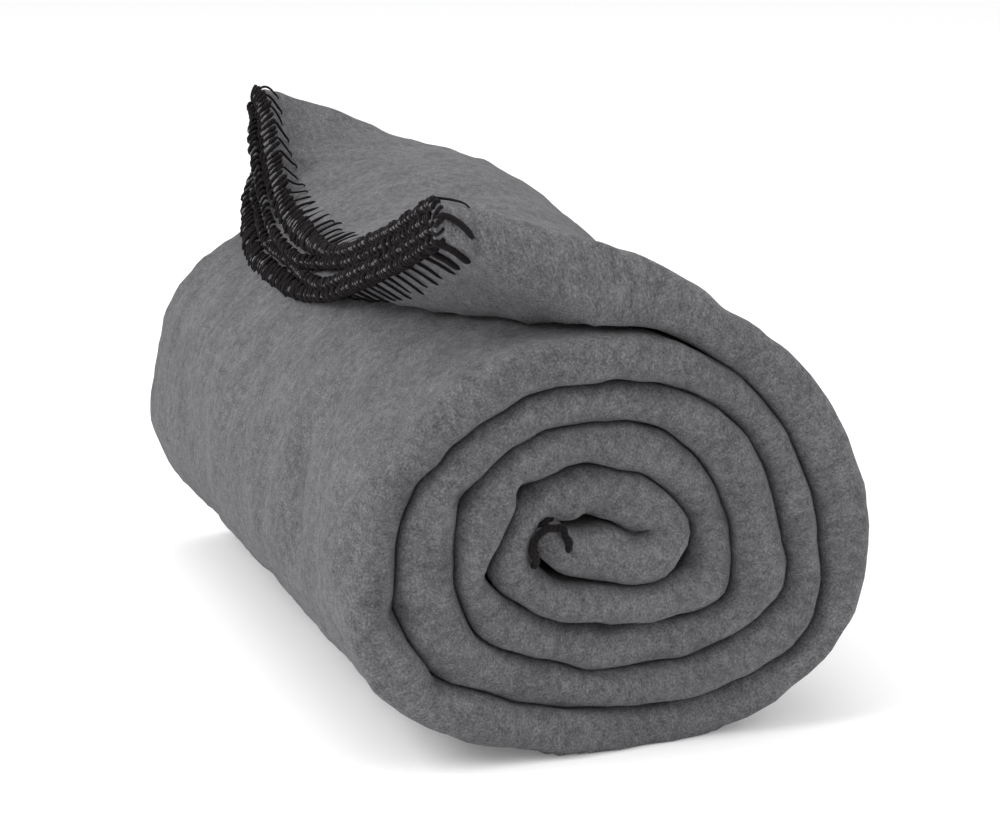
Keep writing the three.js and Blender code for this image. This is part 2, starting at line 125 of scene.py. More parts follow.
# ---------------------------------------------------------------- the rolled strip
# Middle of the stack, and how far the stack reaches outwards and inwards from it, every 3 mm from the bend line at
# the top right to the inner end: x, z, outwards, inwards.
SPIRAL = [
    (33.8, 142.5, 8.1, 8.2), (35.6, 141.3, 8.1, 8.2), (38.0, 139.8, 8.1, 8.2), (40.5, 138.1, 8.0, 8.1), (43.0, 136.4, 7.9, 8.0), (45.5, 134.7, 7.9, 7.9),
    (47.8, 132.8, 8.0, 7.8), (50.2, 131.0, 8.1, 7.8), (52.5, 129.0, 8.1, 7.9), (54.7, 127.0, 8.1, 7.9), (56.8, 124.9, 8.1, 7.9), (58.9, 122.7, 8.1, 8.0),
    (60.9, 120.5, 8.1, 8.1), (62.9, 118.2, 8.2, 8.2), (64.7, 115.9, 8.3, 8.3), (66.5, 113.4, 8.4, 8.4), (68.2, 111.0, 8.5, 8.5), (69.9, 108.5, 8.7, 8.6),
    (71.4, 105.9, 8.9, 8.7), (72.9, 103.3, 8.9, 8.8), (74.2, 100.6, 9.0, 8.8), (75.5, 97.9, 9.1, 8.9), (76.7, 95.1, 9.2, 9.0), (77.8, 92.3, 9.2, 9.1),
    (78.8, 89.5, 9.3, 9.2), (79.7, 86.6, 9.3, 9.3), (80.5, 83.7, 9.3, 9.3), (81.3, 80.8, 9.4, 9.4), (81.9, 77.9, 9.4, 9.4), (82.5, 75.0, 9.4, 9.4),
    (83.0, 72.0, 9.5, 9.3), (83.4, 69.0, 9.5, 9.1), (83.6, 66.0, 9.4, 8.9), (83.8, 63.0, 9.3, 8.7), (83.8, 60.0, 9.1, 8.4), (83.7, 57.0, 9.0, 8.0),
    (83.5, 54.0, 8.8, 7.6), (83.0, 51.1, 8.5, 7.2), (82.5, 48.1, 8.2, 6.9), (81.7, 45.2, 8.0, 6.7), (80.7, 42.4, 7.8, 6.5), (79.6, 39.6, 7.6, 6.3),
    (78.3, 36.9, 7.5, 6.1), (76.8, 34.4, 7.4, 5.9), (75.1, 31.9, 7.3, 5.7), (73.2, 29.5, 7.1, 5.6), (71.2, 27.3, 6.9, 5.5), (69.0, 25.3, 6.7, 5.5),
    (66.7, 23.3, 6.7, 5.6), (64.3, 21.5, 6.8, 5.9), (61.8, 19.8, 7.1, 6.2), (59.3, 18.3, 7.4, 6.6), (56.7, 16.8, 7.8, 6.9), (54.0, 15.4, 8.1, 7.3),
    (51.3, 14.1, 8.2, 7.6), (48.5, 12.9, 8.3, 7.8), (45.7, 11.8, 8.3, 8.0), (42.9, 10.8, 8.3, 8.2), (40.1, 9.9, 8.3, 8.2), (37.2, 9.0, 8.2, 8.2),
    (34.3, 8.3, 8.1, 8.2), (31.3, 7.7, 8.1, 8.2), (28.4, 7.1, 8.0, 8.1), (25.4, 6.6, 7.8, 8.0), (22.5, 6.2, 7.7, 8.0), (19.5, 5.9, 7.6, 7.9),
    (16.5, 5.6, 7.5, 7.9), (13.5, 5.4, 7.4, 7.8), (10.5, 5.3, 7.3, 7.7), (7.5, 5.3, 7.3, 7.7), (4.5, 5.3, 7.2, 7.6), (1.5, 5.4, 7.1, 7.5),
    (-1.5, 5.5, 7.0, 7.4), (-4.5, 5.7, 6.9, 7.4), (-7.5, 5.9, 6.9, 7.4), (-10.5, 6.2, 6.8, 7.3), (-13.5, 6.5, 6.8, 7.3), (-16.5, 6.9, 6.8, 7.3),
    (-19.4, 7.4, 6.9, 7.3), (-22.4, 7.8, 7.0, 7.4), (-25.3, 8.4, 7.0, 7.5), (-28.3, 9.0, 7.1, 7.6), (-31.2, 9.7, 7.3, 7.8), (-34.1, 10.4, 7.5, 7.9),
    (-37.0, 11.2, 7.6, 8.1), (-39.9, 12.1, 7.8, 8.2), (-42.8, 13.0, 8.0, 8.3), (-45.6, 14.0, 8.1, 8.5), (-48.4, 15.0, 8.3, 8.6), (-51.2, 16.1, 8.5, 8.6),
    (-53.9, 17.3, 8.6, 8.5), (-56.7, 18.6, 8.6, 8.3), (-59.3, 20.0, 8.6, 8.0), (-61.9, 21.5, 8.6, 7.6), (-64.5, 23.1, 8.5, 7.2), (-66.9, 24.9, 8.5, 7.1),
    (-69.2, 26.7, 8.5, 7.1), (-71.4, 28.8, 8.5, 7.4), (-73.5, 30.9, 8.6, 7.6), (-75.4, 33.2, 8.7, 7.8), (-77.2, 35.7, 8.7, 7.9), (-78.8, 38.2, 8.8, 8.0),
    (-80.3, 40.8, 8.8, 7.9), (-81.6, 43.5, 8.8, 7.8), (-82.7, 46.2, 8.9, 7.7), (-83.7, 49.1, 9.1, 7.6), (-84.4, 52.0, 9.2, 7.5), (-84.9, 54.9, 9.1, 7.5),
    (-85.2, 57.9, 8.9, 7.7), (-85.4, 60.9, 8.6, 7.9), (-85.3, 63.9, 8.4, 8.1), (-85.2, 66.9, 8.3, 8.3), (-84.9, 69.9, 8.1, 8.4), (-84.6, 72.9, 8.0, 8.3),
    (-84.2, 75.9, 8.0, 8.2), (-83.7, 78.8, 7.9, 8.1), (-83.1, 81.8, 7.9, 7.9), (-82.5, 84.7, 8.0, 7.8), (-81.7, 87.6, 8.0, 7.7), (-80.9, 90.5, 8.1, 7.6),
    (-79.9, 93.3, 8.2, 7.5), (-78.7, 96.1, 8.3, 7.4), (-77.4, 98.8, 8.4, 7.4), (-76.0, 101.4, 8.4, 7.4), (-74.4, 103.9, 8.4, 7.5), (-72.6, 106.4, 8.4, 7.7),
    (-70.7, 108.7, 8.5, 7.9), (-68.7, 110.9, 8.6, 8.1), (-66.6, 113.0, 8.6, 8.2), (-64.4, 115.1, 8.7, 8.2), (-62.1, 117.0, 8.7, 8.3), (-59.7, 118.8, 8.7, 8.5),
    (-57.3, 120.6, 8.7, 8.6), (-54.8, 122.3, 8.7, 8.7), (-52.2, 123.9, 8.7, 8.7), (-49.6, 125.4, 8.8, 8.7), (-47.0, 126.8, 8.8, 8.7), (-44.3, 128.1, 8.7, 8.7),
    (-41.6, 129.3, 8.7, 8.7), (-38.8, 130.5, 8.7, 8.6), (-35.9, 131.5, 8.6, 8.6), (-33.1, 132.4, 8.5, 8.6), (-30.2, 133.2, 8.4, 8.5), (-27.3, 133.9, 8.4, 8.5),
    (-24.4, 134.6, 8.3, 8.4), (-21.4, 135.1, 8.1, 8.4), (-18.4, 135.5, 8.1, 8.3), (-15.4, 135.9, 8.1, 8.3), (-12.5, 136.1, 8.1, 8.2), (-9.5, 136.3, 8.1, 8.2),
    (-6.5, 136.3, 8.1, 8.1), (-3.5, 136.3, 8.1, 8.0), (-0.5, 136.1, 8.0, 8.0), (2.5, 135.8, 8.0, 7.9), (5.5, 135.4, 8.0, 7.8), (8.5, 134.9, 8.0, 7.8),
    (11.4, 134.3, 8.0, 7.7), (14.3, 133.5, 7.9, 7.5), (17.2, 132.6, 7.8, 7.4), (20.0, 131.6, 7.6, 7.4), (22.7, 130.4, 7.5, 7.3), (25.5, 129.2, 7.3, 7.2),
    (28.2, 127.8, 7.2, 7.1), (30.8, 126.4, 7.0, 7.0), (33.4, 124.9, 6.9, 6.9), (35.9, 123.3, 6.9, 6.8), (38.4, 121.6, 6.8, 6.6), (40.8, 119.8, 6.8, 6.4),
    (43.1, 117.9, 6.6, 6.2), (45.4, 115.9, 6.5, 6.1), (47.5, 113.8, 6.4, 6.0), (49.6, 111.6, 6.3, 5.9), (51.5, 109.3, 6.2, 5.8), (53.4, 107.0, 6.1, 5.7),
    (55.1, 104.5, 6.1, 5.7), (56.7, 102.0, 6.1, 5.7), (58.1, 99.3, 6.1, 5.8), (59.5, 96.7, 6.2, 5.8), (60.7, 93.9, 6.2, 5.9), (61.8, 91.2, 6.3, 6.1),
    (62.9, 88.3, 6.3, 6.2), (63.8, 85.5, 6.3, 6.4), (64.7, 82.6, 6.3, 6.4), (65.4, 79.7, 6.3, 6.5), (66.1, 76.8, 6.3, 6.5), (66.8, 73.9, 6.3, 6.5),
    (67.4, 70.9, 6.3, 6.5), (67.9, 67.9, 6.3, 6.4), (68.3, 65.0, 6.4, 6.3), (68.6, 62.0, 6.5, 6.1), (68.7, 59.0, 6.8, 5.8), (68.7, 56.0, 7.2, 5.5),
    (68.3, 53.0, 7.6, 5.3), (67.7, 50.1, 8.0, 5.4), (66.8, 47.3, 8.3, 5.7), (65.5, 44.6, 8.7, 6.1), (63.9, 42.0, 9.1, 6.5), (62.1, 39.7, 9.4, 7.0),
    (60.0, 37.5, 9.5, 7.5), (57.8, 35.5, 9.4, 7.8), (55.4, 33.7, 9.1, 8.1), (52.9, 32.1, 8.8, 8.2), (50.2, 30.6, 8.4, 8.2), (47.6, 29.3, 8.0, 8.1),
    (44.8, 28.1, 7.8, 7.9), (42.0, 27.0, 7.6, 7.8), (39.2, 26.0, 7.5, 7.7), (36.3, 25.1, 7.4, 7.7), (33.4, 24.2, 7.4, 7.6), (30.5, 23.5, 7.4, 7.6),
    (27.6, 22.8, 7.4, 7.6), (24.7, 22.2, 7.4, 7.7), (21.7, 21.6, 7.4, 7.7), (18.8, 21.2, 7.3, 7.7), (15.8, 20.7, 7.2, 7.6), (12.8, 20.4, 7.2, 7.5),
    (9.8, 20.1, 7.1, 7.4), (6.8, 19.9, 7.0, 7.4), (3.8, 19.8, 7.0, 7.2), (0.8, 19.8, 6.9, 7.1), (-2.2, 19.8, 6.9, 7.0), (-5.2, 20.0, 6.8, 7.0),
    (-8.2, 20.2, 6.8, 7.0), (-11.2, 20.5, 6.9, 7.0), (-14.1, 21.0, 7.0, 7.0), (-17.1, 21.5, 7.1, 7.2), (-20.0, 22.2, 7.1, 7.3), (-22.9, 22.9, 7.2, 7.4),
    (-25.8, 23.7, 7.2, 7.5), (-28.7, 24.6, 7.3, 7.7), (-31.5, 25.6, 7.3, 7.8), (-34.3, 26.6, 7.4, 7.9), (-37.1, 27.7, 7.4, 7.9), (-39.9, 28.8, 7.4, 7.9),
    (-42.7, 30.0, 7.5, 7.9), (-45.4, 31.3, 7.6, 7.9), (-48.1, 32.6, 8.0, 8.1), (-50.7, 34.2, 8.6, 8.2), (-53.1, 35.8, 9.3, 8.4), (-55.5, 37.7, 9.9, 8.6),
    (-57.6, 39.8, 10.1, 8.8), (-59.6, 42.1, 10.2, 9.0), (-61.3, 44.5, 10.2, 9.2), (-62.9, 47.1, 10.3, 9.4), (-64.2, 49.7, 10.5, 9.5), (-65.3, 52.5, 10.7, 9.5),
    (-66.2, 55.4, 10.9, 9.5), (-66.8, 58.3, 10.7, 9.5), (-67.2, 61.3, 10.3, 9.5), (-67.4, 64.3, 9.8, 9.4), (-67.5, 67.3, 9.3, 9.3), (-67.4, 70.3, 9.0, 9.2),
    (-67.2, 73.3, 8.9, 9.0), (-66.9, 76.2, 8.9, 8.9), (-66.5, 79.2, 8.9, 8.8), (-66.0, 82.2, 8.9, 8.6), (-65.3, 85.1, 8.9, 8.4), (-64.4, 88.0, 8.8, 8.1),
    (-63.4, 90.8, 8.7, 7.6), (-62.1, 93.5, 8.5, 7.1), (-60.5, 96.0, 8.2, 6.7), (-58.8, 98.4, 7.8, 6.7), (-56.8, 100.7, 7.5, 6.8), (-54.7, 102.8, 7.3, 7.0),
    (-52.5, 104.8, 7.1, 6.9), (-50.2, 106.7, 6.9, 6.8), (-47.7, 108.5, 6.7, 6.6), (-45.2, 110.2, 6.7, 6.5), (-42.7, 111.7, 6.6, 6.4), (-40.0, 113.1, 6.6, 6.3),
    (-37.3, 114.4, 6.6, 6.3), (-34.6, 115.6, 6.7, 6.4), (-31.8, 116.7, 6.7, 6.5), (-28.9, 117.6, 6.8, 6.6), (-26.0, 118.4, 6.8, 6.8), (-23.1, 119.1, 6.9, 6.9),
    (-20.2, 119.7, 6.9, 7.0), (-17.2, 120.2, 7.0, 7.1), (-14.2, 120.6, 7.0, 7.1), (-11.2, 120.9, 7.0, 7.1), (-8.2, 121.1, 7.0, 7.1), (-5.2, 121.2, 7.1, 7.1),
    (-2.2, 121.1, 7.1, 7.0), (0.8, 120.9, 7.1, 6.9), (3.7, 120.6, 7.1, 6.9), (6.7, 120.1, 7.1, 6.8), (9.6, 119.5, 7.2, 6.8), (12.5, 118.7, 7.2, 6.8),
    (15.4, 117.7, 7.3, 6.9), (18.1, 116.6, 7.3, 7.0), (20.9, 115.3, 7.3, 7.1), (23.5, 113.9, 7.4, 7.3), (26.1, 112.4, 7.5, 7.5), (28.6, 110.8, 7.7, 7.7),
    (31.0, 109.0, 8.0, 7.8), (33.4, 107.1, 8.2, 8.0), (35.6, 105.1, 8.5, 8.1), (37.7, 102.9, 8.7, 8.2), (39.6, 100.7, 8.9, 8.2), (41.4, 98.3, 9.1, 8.4),
    (43.0, 95.7, 9.2, 8.6), (44.5, 93.1, 9.2, 8.7), (45.8, 90.4, 9.2, 8.9), (46.9, 87.6, 9.2, 9.0), (47.9, 84.8, 9.1, 9.0), (48.9, 82.0, 9.0, 9.1),
    (49.7, 79.1, 9.0, 9.1), (50.4, 76.2, 9.0, 9.1), (51.0, 73.2, 9.0, 9.2), (51.5, 70.3, 9.2, 9.3), (51.9, 67.3, 9.4, 9.5), (52.2, 64.3, 9.8, 9.5),
    (52.2, 61.3, 10.5, 9.5), (52.0, 58.3, 11.1, 9.3), (51.3, 55.4, 11.3, 9.0), (50.3, 52.6, 10.8, 8.6), (48.9, 50.0, 9.8, 7.9), (47.0, 47.7, 8.6, 7.2),
    (44.9, 45.7, 7.8, 6.5), (42.4, 43.9, 7.3, 6.1), (39.9, 42.4, 7.2, 6.0), (37.2, 41.1, 7.1, 6.1), (34.4, 40.1, 7.2, 6.2), (31.5, 39.1, 7.2, 6.5),
    (28.6, 38.3, 7.2, 6.8), (25.7, 37.6, 7.3, 7.0), (22.7, 37.1, 7.3, 7.2), (19.8, 36.6, 7.4, 7.4), (16.8, 36.2, 7.5, 7.6), (13.8, 35.8, 7.6, 7.8),
    (10.8, 35.6, 7.7, 7.9), (7.8, 35.4, 7.9, 8.1), (4.8, 35.2, 8.1, 8.3), (1.8, 35.2, 8.2, 8.4), (-1.2, 35.2, 8.4, 8.6), (-4.2, 35.3, 8.4, 8.6),
    (-7.2, 35.6, 8.4, 8.6), (-10.1, 35.9, 8.3, 8.5), (-13.1, 36.4, 8.2, 8.4), (-16.0, 37.0, 8.0, 8.1), (-19.0, 37.6, 7.9, 7.9), (-21.9, 38.4, 7.7, 7.6),
    (-24.7, 39.3, 7.5, 7.5), (-27.6, 40.3, 7.3, 7.4), (-30.3, 41.4, 7.4, 7.3), (-33.1, 42.7, 7.5, 7.3), (-35.7, 44.1, 7.8, 7.4), (-38.3, 45.7, 8.1, 7.4),
    (-40.7, 47.4, 8.3, 7.3), (-42.9, 49.4, 8.3, 7.2), (-45.0, 51.5, 8.2, 6.9), (-46.9, 53.9, 7.9, 6.4), (-48.5, 56.4, 7.5, 5.9), (-49.9, 59.0, 7.1, 5.2),
    (-50.9, 61.8, 6.7, 4.6), (-51.6, 64.7, 6.5, 4.3), (-51.8, 67.7, 6.5, 4.3), (-51.6, 70.7, 6.7, 4.7), (-51.1, 73.6, 7.1, 5.6), (-50.4, 76.5, 7.6, 6.6),
    (-49.5, 79.4, 8.2, 7.6), (-48.5, 82.2, 8.9, 8.4), (-47.3, 85.0, 9.5, 8.9), (-46.0, 87.7, 9.6, 9.0), (-44.6, 90.3, 9.3, 8.8), (-42.8, 92.7, 8.7, 8.2),
    (-40.9, 95.0, 8.2, 7.4), (-38.7, 97.0, 8.0, 6.8), (-36.3, 98.8, 7.9, 6.6), (-33.8, 100.4, 7.9, 6.7), (-31.1, 101.7, 7.8, 7.0), (-28.3, 102.8, 7.7, 7.3),
    (-25.5, 103.8, 7.6, 7.4), (-22.6, 104.6, 7.4, 7.5), (-19.7, 105.3, 7.3, 7.4), (-16.7, 105.8, 7.3, 7.2), (-13.7, 106.1, 7.3, 7.1), (-10.7, 106.3, 7.5, 7.1),
    (-7.7, 106.3, 7.7, 7.4), (-4.8, 106.1, 8.0, 7.9), (-1.8, 105.8, 8.3, 8.3), (1.2, 105.3, 8.6, 8.6), (4.1, 104.7, 8.7, 8.6), (7.0, 103.9, 8.7, 8.5),
    (9.9, 102.9, 8.7, 8.3), (12.6, 101.8, 8.7, 8.1), (15.3, 100.4, 8.6, 7.9), (17.8, 98.8, 8.4, 7.8), (20.3, 97.1, 8.2, 7.7), (22.5, 95.1, 8.1, 7.6),
    (24.7, 93.0, 8.1, 7.4), (26.6, 90.8, 8.0, 7.2), (28.4, 88.4, 7.8, 7.0), (30.0, 85.8, 7.5, 6.7), (31.4, 83.1, 7.2, 6.5), (32.5, 80.4, 7.0, 6.4),
    (33.5, 77.5, 7.0, 6.4), (34.2, 74.6, 7.0, 6.4), (34.6, 71.7, 7.2, 6.6), (34.8, 68.7, 7.5, 6.7), (34.7, 65.7, 8.1, 6.8), (34.1, 62.8, 8.9, 6.9),
    (33.1, 60.0, 10.0, 7.1), (31.6, 57.5, 10.5, 7.3), (29.5, 55.4, 10.1, 7.4), (27.1, 53.7, 9.0, 7.4), (24.5, 52.4, 8.0, 7.3), (21.6, 51.5, 7.3, 7.2),
    (18.7, 50.8, 6.9, 7.1), (15.7, 50.4, 6.7, 7.0), (12.7, 50.1, 6.6, 6.9), (9.7, 50.0, 6.5, 6.9), (6.7, 50.0, 6.5, 7.0), (3.7, 50.0, 6.5, 7.1),
    (0.7, 50.2, 6.5, 7.2), (-2.2, 50.4, 6.6, 7.4), (-5.2, 50.7, 6.6, 7.5), (-8.2, 51.1, 6.8, 7.5), (-11.2, 51.5, 6.9, 7.5), (-14.1, 52.0, 7.1, 7.4),
    (-17.1, 52.7, 7.3, 7.2), (-20.0, 53.5, 7.4, 6.9), (-22.8, 54.5, 7.5, 6.6), (-25.5, 55.6, 7.6, 6.5), (-28.2, 57.1, 7.6, 6.7), (-30.6, 58.8, 7.8, 6.9),
    (-32.9, 60.7, 8.1, 7.1), (-34.8, 63.0, 8.8, 7.3), (-36.2, 65.5, 9.6, 7.2), (-37.1, 68.3, 9.5, 6.9), (-37.2, 71.3, 8.4, 6.3), (-36.7, 74.1, 6.8, 5.4),
    (-35.6, 76.9, 5.9, 4.5), (-34.0, 79.4, 6.0, 4.0), (-32.0, 81.6, 7.0, 3.8), (-29.8, 83.6, 8.3, 4.0), (-27.3, 85.3, 9.2, 4.8), (-24.7, 86.7, 9.3, 5.8),
    (-21.9, 87.8, 9.0, 6.8), (-19.1, 88.7, 8.8, 7.6), (-16.2, 89.4, 8.9, 8.0), (-13.2, 89.9, 9.0, 8.2), (-10.2, 90.1, 9.0, 8.4), (-7.2, 90.1, 8.6, 8.8),
    (-4.2, 89.8, 8.0, 9.3), (-1.3, 89.4, 7.6, 9.9), (1.6, 88.8, 7.5, 10.5), (4.5, 88.0, 7.6, 11.2), (7.3, 86.9, 7.6, 11.8), (10.0, 85.6, 7.5, 12.1),
    (12.5, 84.0, 7.4, 12.3), (14.6, 81.9, 7.6, 12.3), (16.2, 79.5, 8.3, 10.2), (16.9, 76.8, 9.8, 9.1), (16.5, 74.1, 11.5, 8.5), (15.0, 71.7, 12.6, 7.5),
    (12.7, 70.0, 12.7, 7.3), (10.0, 69.0, 12.3, 7.0), (7.1, 68.6, 11.7, 6.7), (4.1, 68.5, 11.3, 7.1), (1.1, 68.7, 10.9, 8.1), (-1.9, 69.0, 10.6, 9.2),
    (-4.9, 69.2, 10.3, 9.8), (-7.9, 69.3, 9.9, 9.8), (-10.9, 69.6, 9.5, 9.5), (-13.8, 70.0, 9.0, 9.0), (-16.7, 70.7, 8.4, 8.4), (-19.5, 71.8, 7.8, 7.8),
    (-22.0, 73.4, 7.2, 7.2), (-24.1, 75.4, 6.7, 6.6), (-25.8, 77.8, 6.3, 6.3), (-27.2, 80.3, 6.0, 6.0), (-28.0, 82.3, 5.9, 5.9),
]
TRAIL = np.array(SPIRAL)
trail_s = np.r_[0, np.cumsum(np.hypot(*np.diff(TRAIL[:, :2], axis=0).T))]
TOTAL = trail_s[-1]

# stations: 3.6 mm apart, closer in the core
st = [0.0]
while st[-1] < TOTAL - 1.0:
    st.append(st[-1] + lerp(3.4, 1.9, float(smooth((st[-1] - 850) / 300))))
st[-1] = TOTAL
st = np.array(st)
mid = spline(trail_s, TRAIL, st)
centre = mid[:, :2]
tang = unit(np.gradient(spline(trail_s, TRAIL[:, :2], st), st, axis=0))
norm = np.stack([-tang[:, 1], tang[:, 0]], -1)
reach_out = mid[:, 2] - 0.12
reach_in = mid[:, 3] - 0.12
# at the bend line the stack matches the loose end
DEPTH0 = 16.1


def profile(ply_step, back_step):
    """The sheet across the strip, as (v, k, lip) with k in ply spacings and lip the share of the lip's length."""
    out = []
    n_out = max(2, int(round((STRIP - LIP_V) / ply_step)))
    for v in np.linspace(STRIP, LIP_V, n_out + 1)[:-1]:
        out.append((v, 1.5, 0.0, 0))
    for f in np.linspace(math.pi / 2, -math.pi / 2, 21):
        c, s = abs(math.cos(f)), math.sin(f)
        e = 2 / 2.2
        out.append((LIP_V, 1.5 * math.copysign(abs(s) ** e, s), c**e if c > 1e-6 else 0.0, 1))
    n_back = max(2, int(round((FAR_V - LIP_V) / back_step)))
    for v in np.linspace(LIP_V, FAR_V, n_back + 1)[1:]:
        out.append((v, -1.5, 0.0, 0))
    for f in np.linspace(-math.pi / 2, math.pi / 2, 9)[1:-1]:
        out.append((FAR_V, -1 + 0.5 * math.sin(f), -math.cos(f), 2))
    for v in np.linspace(FAR_V, LIP_V, n_back + 1):
        out.append((v, -0.5, 0.0, 0))
    for f in np.linspace(-math.pi / 2, math.pi / 2, 9)[1:-1]:
        out.append((LIP_V, 0.5 * math.sin(f), math.cos(f), 3))
    for v in np.linspace(LIP_V, STRIP, n_back + 2):
        out.append((v, 0.5, 0.0, 0))
    return np.array(out)


LIP_OUT, LIP_IN, FAR_OUT = 7.6, 2.6, 2.2


def across(prof, p, lip=1.0):
    """(v, w) of the sheet's middle and its outward direction there, for ply spacings p."""
    p = np.atleast_1d(p)[:, None]
    v0, k, c, kind = prof.T
    length = np.where(kind == 1, LIP_OUT * lip, np.where(kind == 3, LIP_IN, np.where(kind == 2, FAR_OUT, 0)))
    v = v0 - c * length + 0 * p
    w = k * p
    dv = np.empty_like(v)
    dw = np.empty_like(w)
    dv[:, 1:-1], dw[:, 1:-1] = v[:, 2:] - v[:, :-2], w[:, 2:] - w[:, :-2]
    # straight plies keep their own direction
    step_v, step_w = np.diff(v, axis=1), np.diff(w, axis=1)
    length_ = np.hypot(step_v, step_w)
    uv, uw = step_v / length_, step_w / length_
    dv[:, 1:-1] = uv[:, 1:] + uv[:, :-1]
    dw[:, 1:-1] = uw[:, 1:] + uw[:, :-1]
    dv[:, 0], dw[:, 0], dv[:, -1], dw[:, -1] = uv[:, 0], uw[:, 0], uv[:, -1], uw[:, -1]
    ln = np.hypot(dv, dw)
    nv, nw = dw / ln, -dv / ln  # travelling towards -v on the outermost ply, the outside is +w
    along_ = np.c_[np.zeros(len(v)), np.cumsum(length_, axis=1)]
    return v, w, nv, nw, along_


def both_faces(v, w, nv, nw, half):
    """Closed outline of the sheet's section: outer face forwards, rounded free edge, inner face back, rounded edge."""
    end = []
    for a in (math.pi / 4, math.pi / 2, 3 * math.pi / 4):
        end.append((math.cos(a), math.sin(a)))
    t_last = (-nw[:, -1], nv[:, -1])  # direction of travel at the last sample
    t_first = (nw[:, 0], -nv[:, 0])  # against travel at the first sample
    vs = [v + nv * half]
    ws = [w + nw * half]
    for c, s in end:
        vs.append((v[:, -1] + half[:, -1] * (nv[:, -1] * c + t_last[0] * s))[:, None])
        ws.append((w[:, -1] + half[:, -1] * (nw[:, -1] * c + t_last[1] * s))[:, None])
    vs.append((v - nv * half)[:, ::-1])
    ws.append((w - nw * half)[:, ::-1])
    for c, s in end:
        vs.append((v[:, 0] + half[:, 0] * (-nv[:, 0] * c + t_first[0] * s))[:, None])
        ws.append((w[:, 0] + half[:, 0] * (-nw[:, 0] * c + t_first[1] * s))[:, None])
    return np.concatenate(vs, 1), np.concatenate(ws, 1)


def outline_along(along_, half_count):
    s = along_[0]
    return np.concatenate([s, [s[-1] + 1] * 3, s[::-1], [s[0] - 1] * 3])


def grid_faces(rows, cols):
    """Quads of a tube of rings, closed round its outline."""
    r = np.arange(rows - 1)[:, None] * cols
    i = np.arange(cols)[None, :]
    j = (i + 1) % cols
    return np.stack([r + i, r + cols + i, r + cols + j, r + j], -1).reshape(-1, 4)


def cap_faces(n, base, flip):
    """The cut end of the sheet: quads across its thickness, and its two rounded edges."""
    out = []
    back = lambda i: n + 3 + (n - 1 - i)
    for i in range(n - 1):
        q = [base + i, base + i + 1, base + back(i + 1), base + back(i)]
        out.append(q[::-1] if flip else q)
    e1 = [base + n - 1, base + n, base + n + 1, base + n + 2, base + back(n - 1)]
    e2 = [base + back(0), base + 2 * n + 3, base + 2 * n + 4, base + 2 * n + 5, base + 0]
    for e in (e1, e2):
        out.append(e[::-1] if flip else e)
    return out


def make_mesh(name, points, faces, attributes=(), sharp_faces=(), flat_faces=False):
    me = bpy.data.meshes.new(name)
    faces = [list(map(int, f)) for f in faces]
    me.from_pydata((np.asarray(points) * 0.001).tolist(), [], faces)
    me.validate()
    me.shade_smooth()
    for label, values in attributes:
        a = me.attributes.new(label, "FLOAT_VECTOR", "POINT")
        a.data.foreach_set("vector", np.asarray(values, np.float32).ravel())
    o = bpy.data.objects.new(name, me)
    bpy.context.scene.collection.objects.link(o)
    return o


def outward(o):
    """Flips the mesh if its volume is negative."""
    me = o.data
    n = len(me.vertices)
    co = np.empty(n * 3)
    me.vertices.foreach_get("co", co)
    co = co.reshape(-1, 3)
    me.calc_loop_triangles()
    t = np.empty(len(me.loop_triangles) * 3, np.int32)
    me.loop_triangles.foreach_get("vertices", t)
    t = t.reshape(-1, 3)
    vol = np.einsum("ij,ij->i", co[t[:, 0]], np.cross(co[t[:, 1]], co[t[:, 2]])).sum()
    if vol < 0:
        me.flip_normals()
    return o


def sharpen(o, ring):
    """Marks the edges whose both ends are in ring, so that the cut end doesn't bend the shading of the faces beside it."""
    me = o.data
    inside = np.zeros(len(me.vertices), bool)
    inside[list(ring)] = True
    e = np.empty(len(me.edges) * 2, np.int32)
    me.edges.foreach_get("vertices", e)
    e = e.reshape(-1, 2)
    mark = inside[e[:, 0]] & inside[e[:, 1]]
    a = me.attributes.new("sharp_edge", "BOOLEAN", "EDGE")
    a.data.foreach_set("value", mark)


# Rolls and dents of the cloth, shared by both pieces of it.
soft_small = waves(26, 9, 24, 11)
soft_big = waves(18, 40, 110, 12)

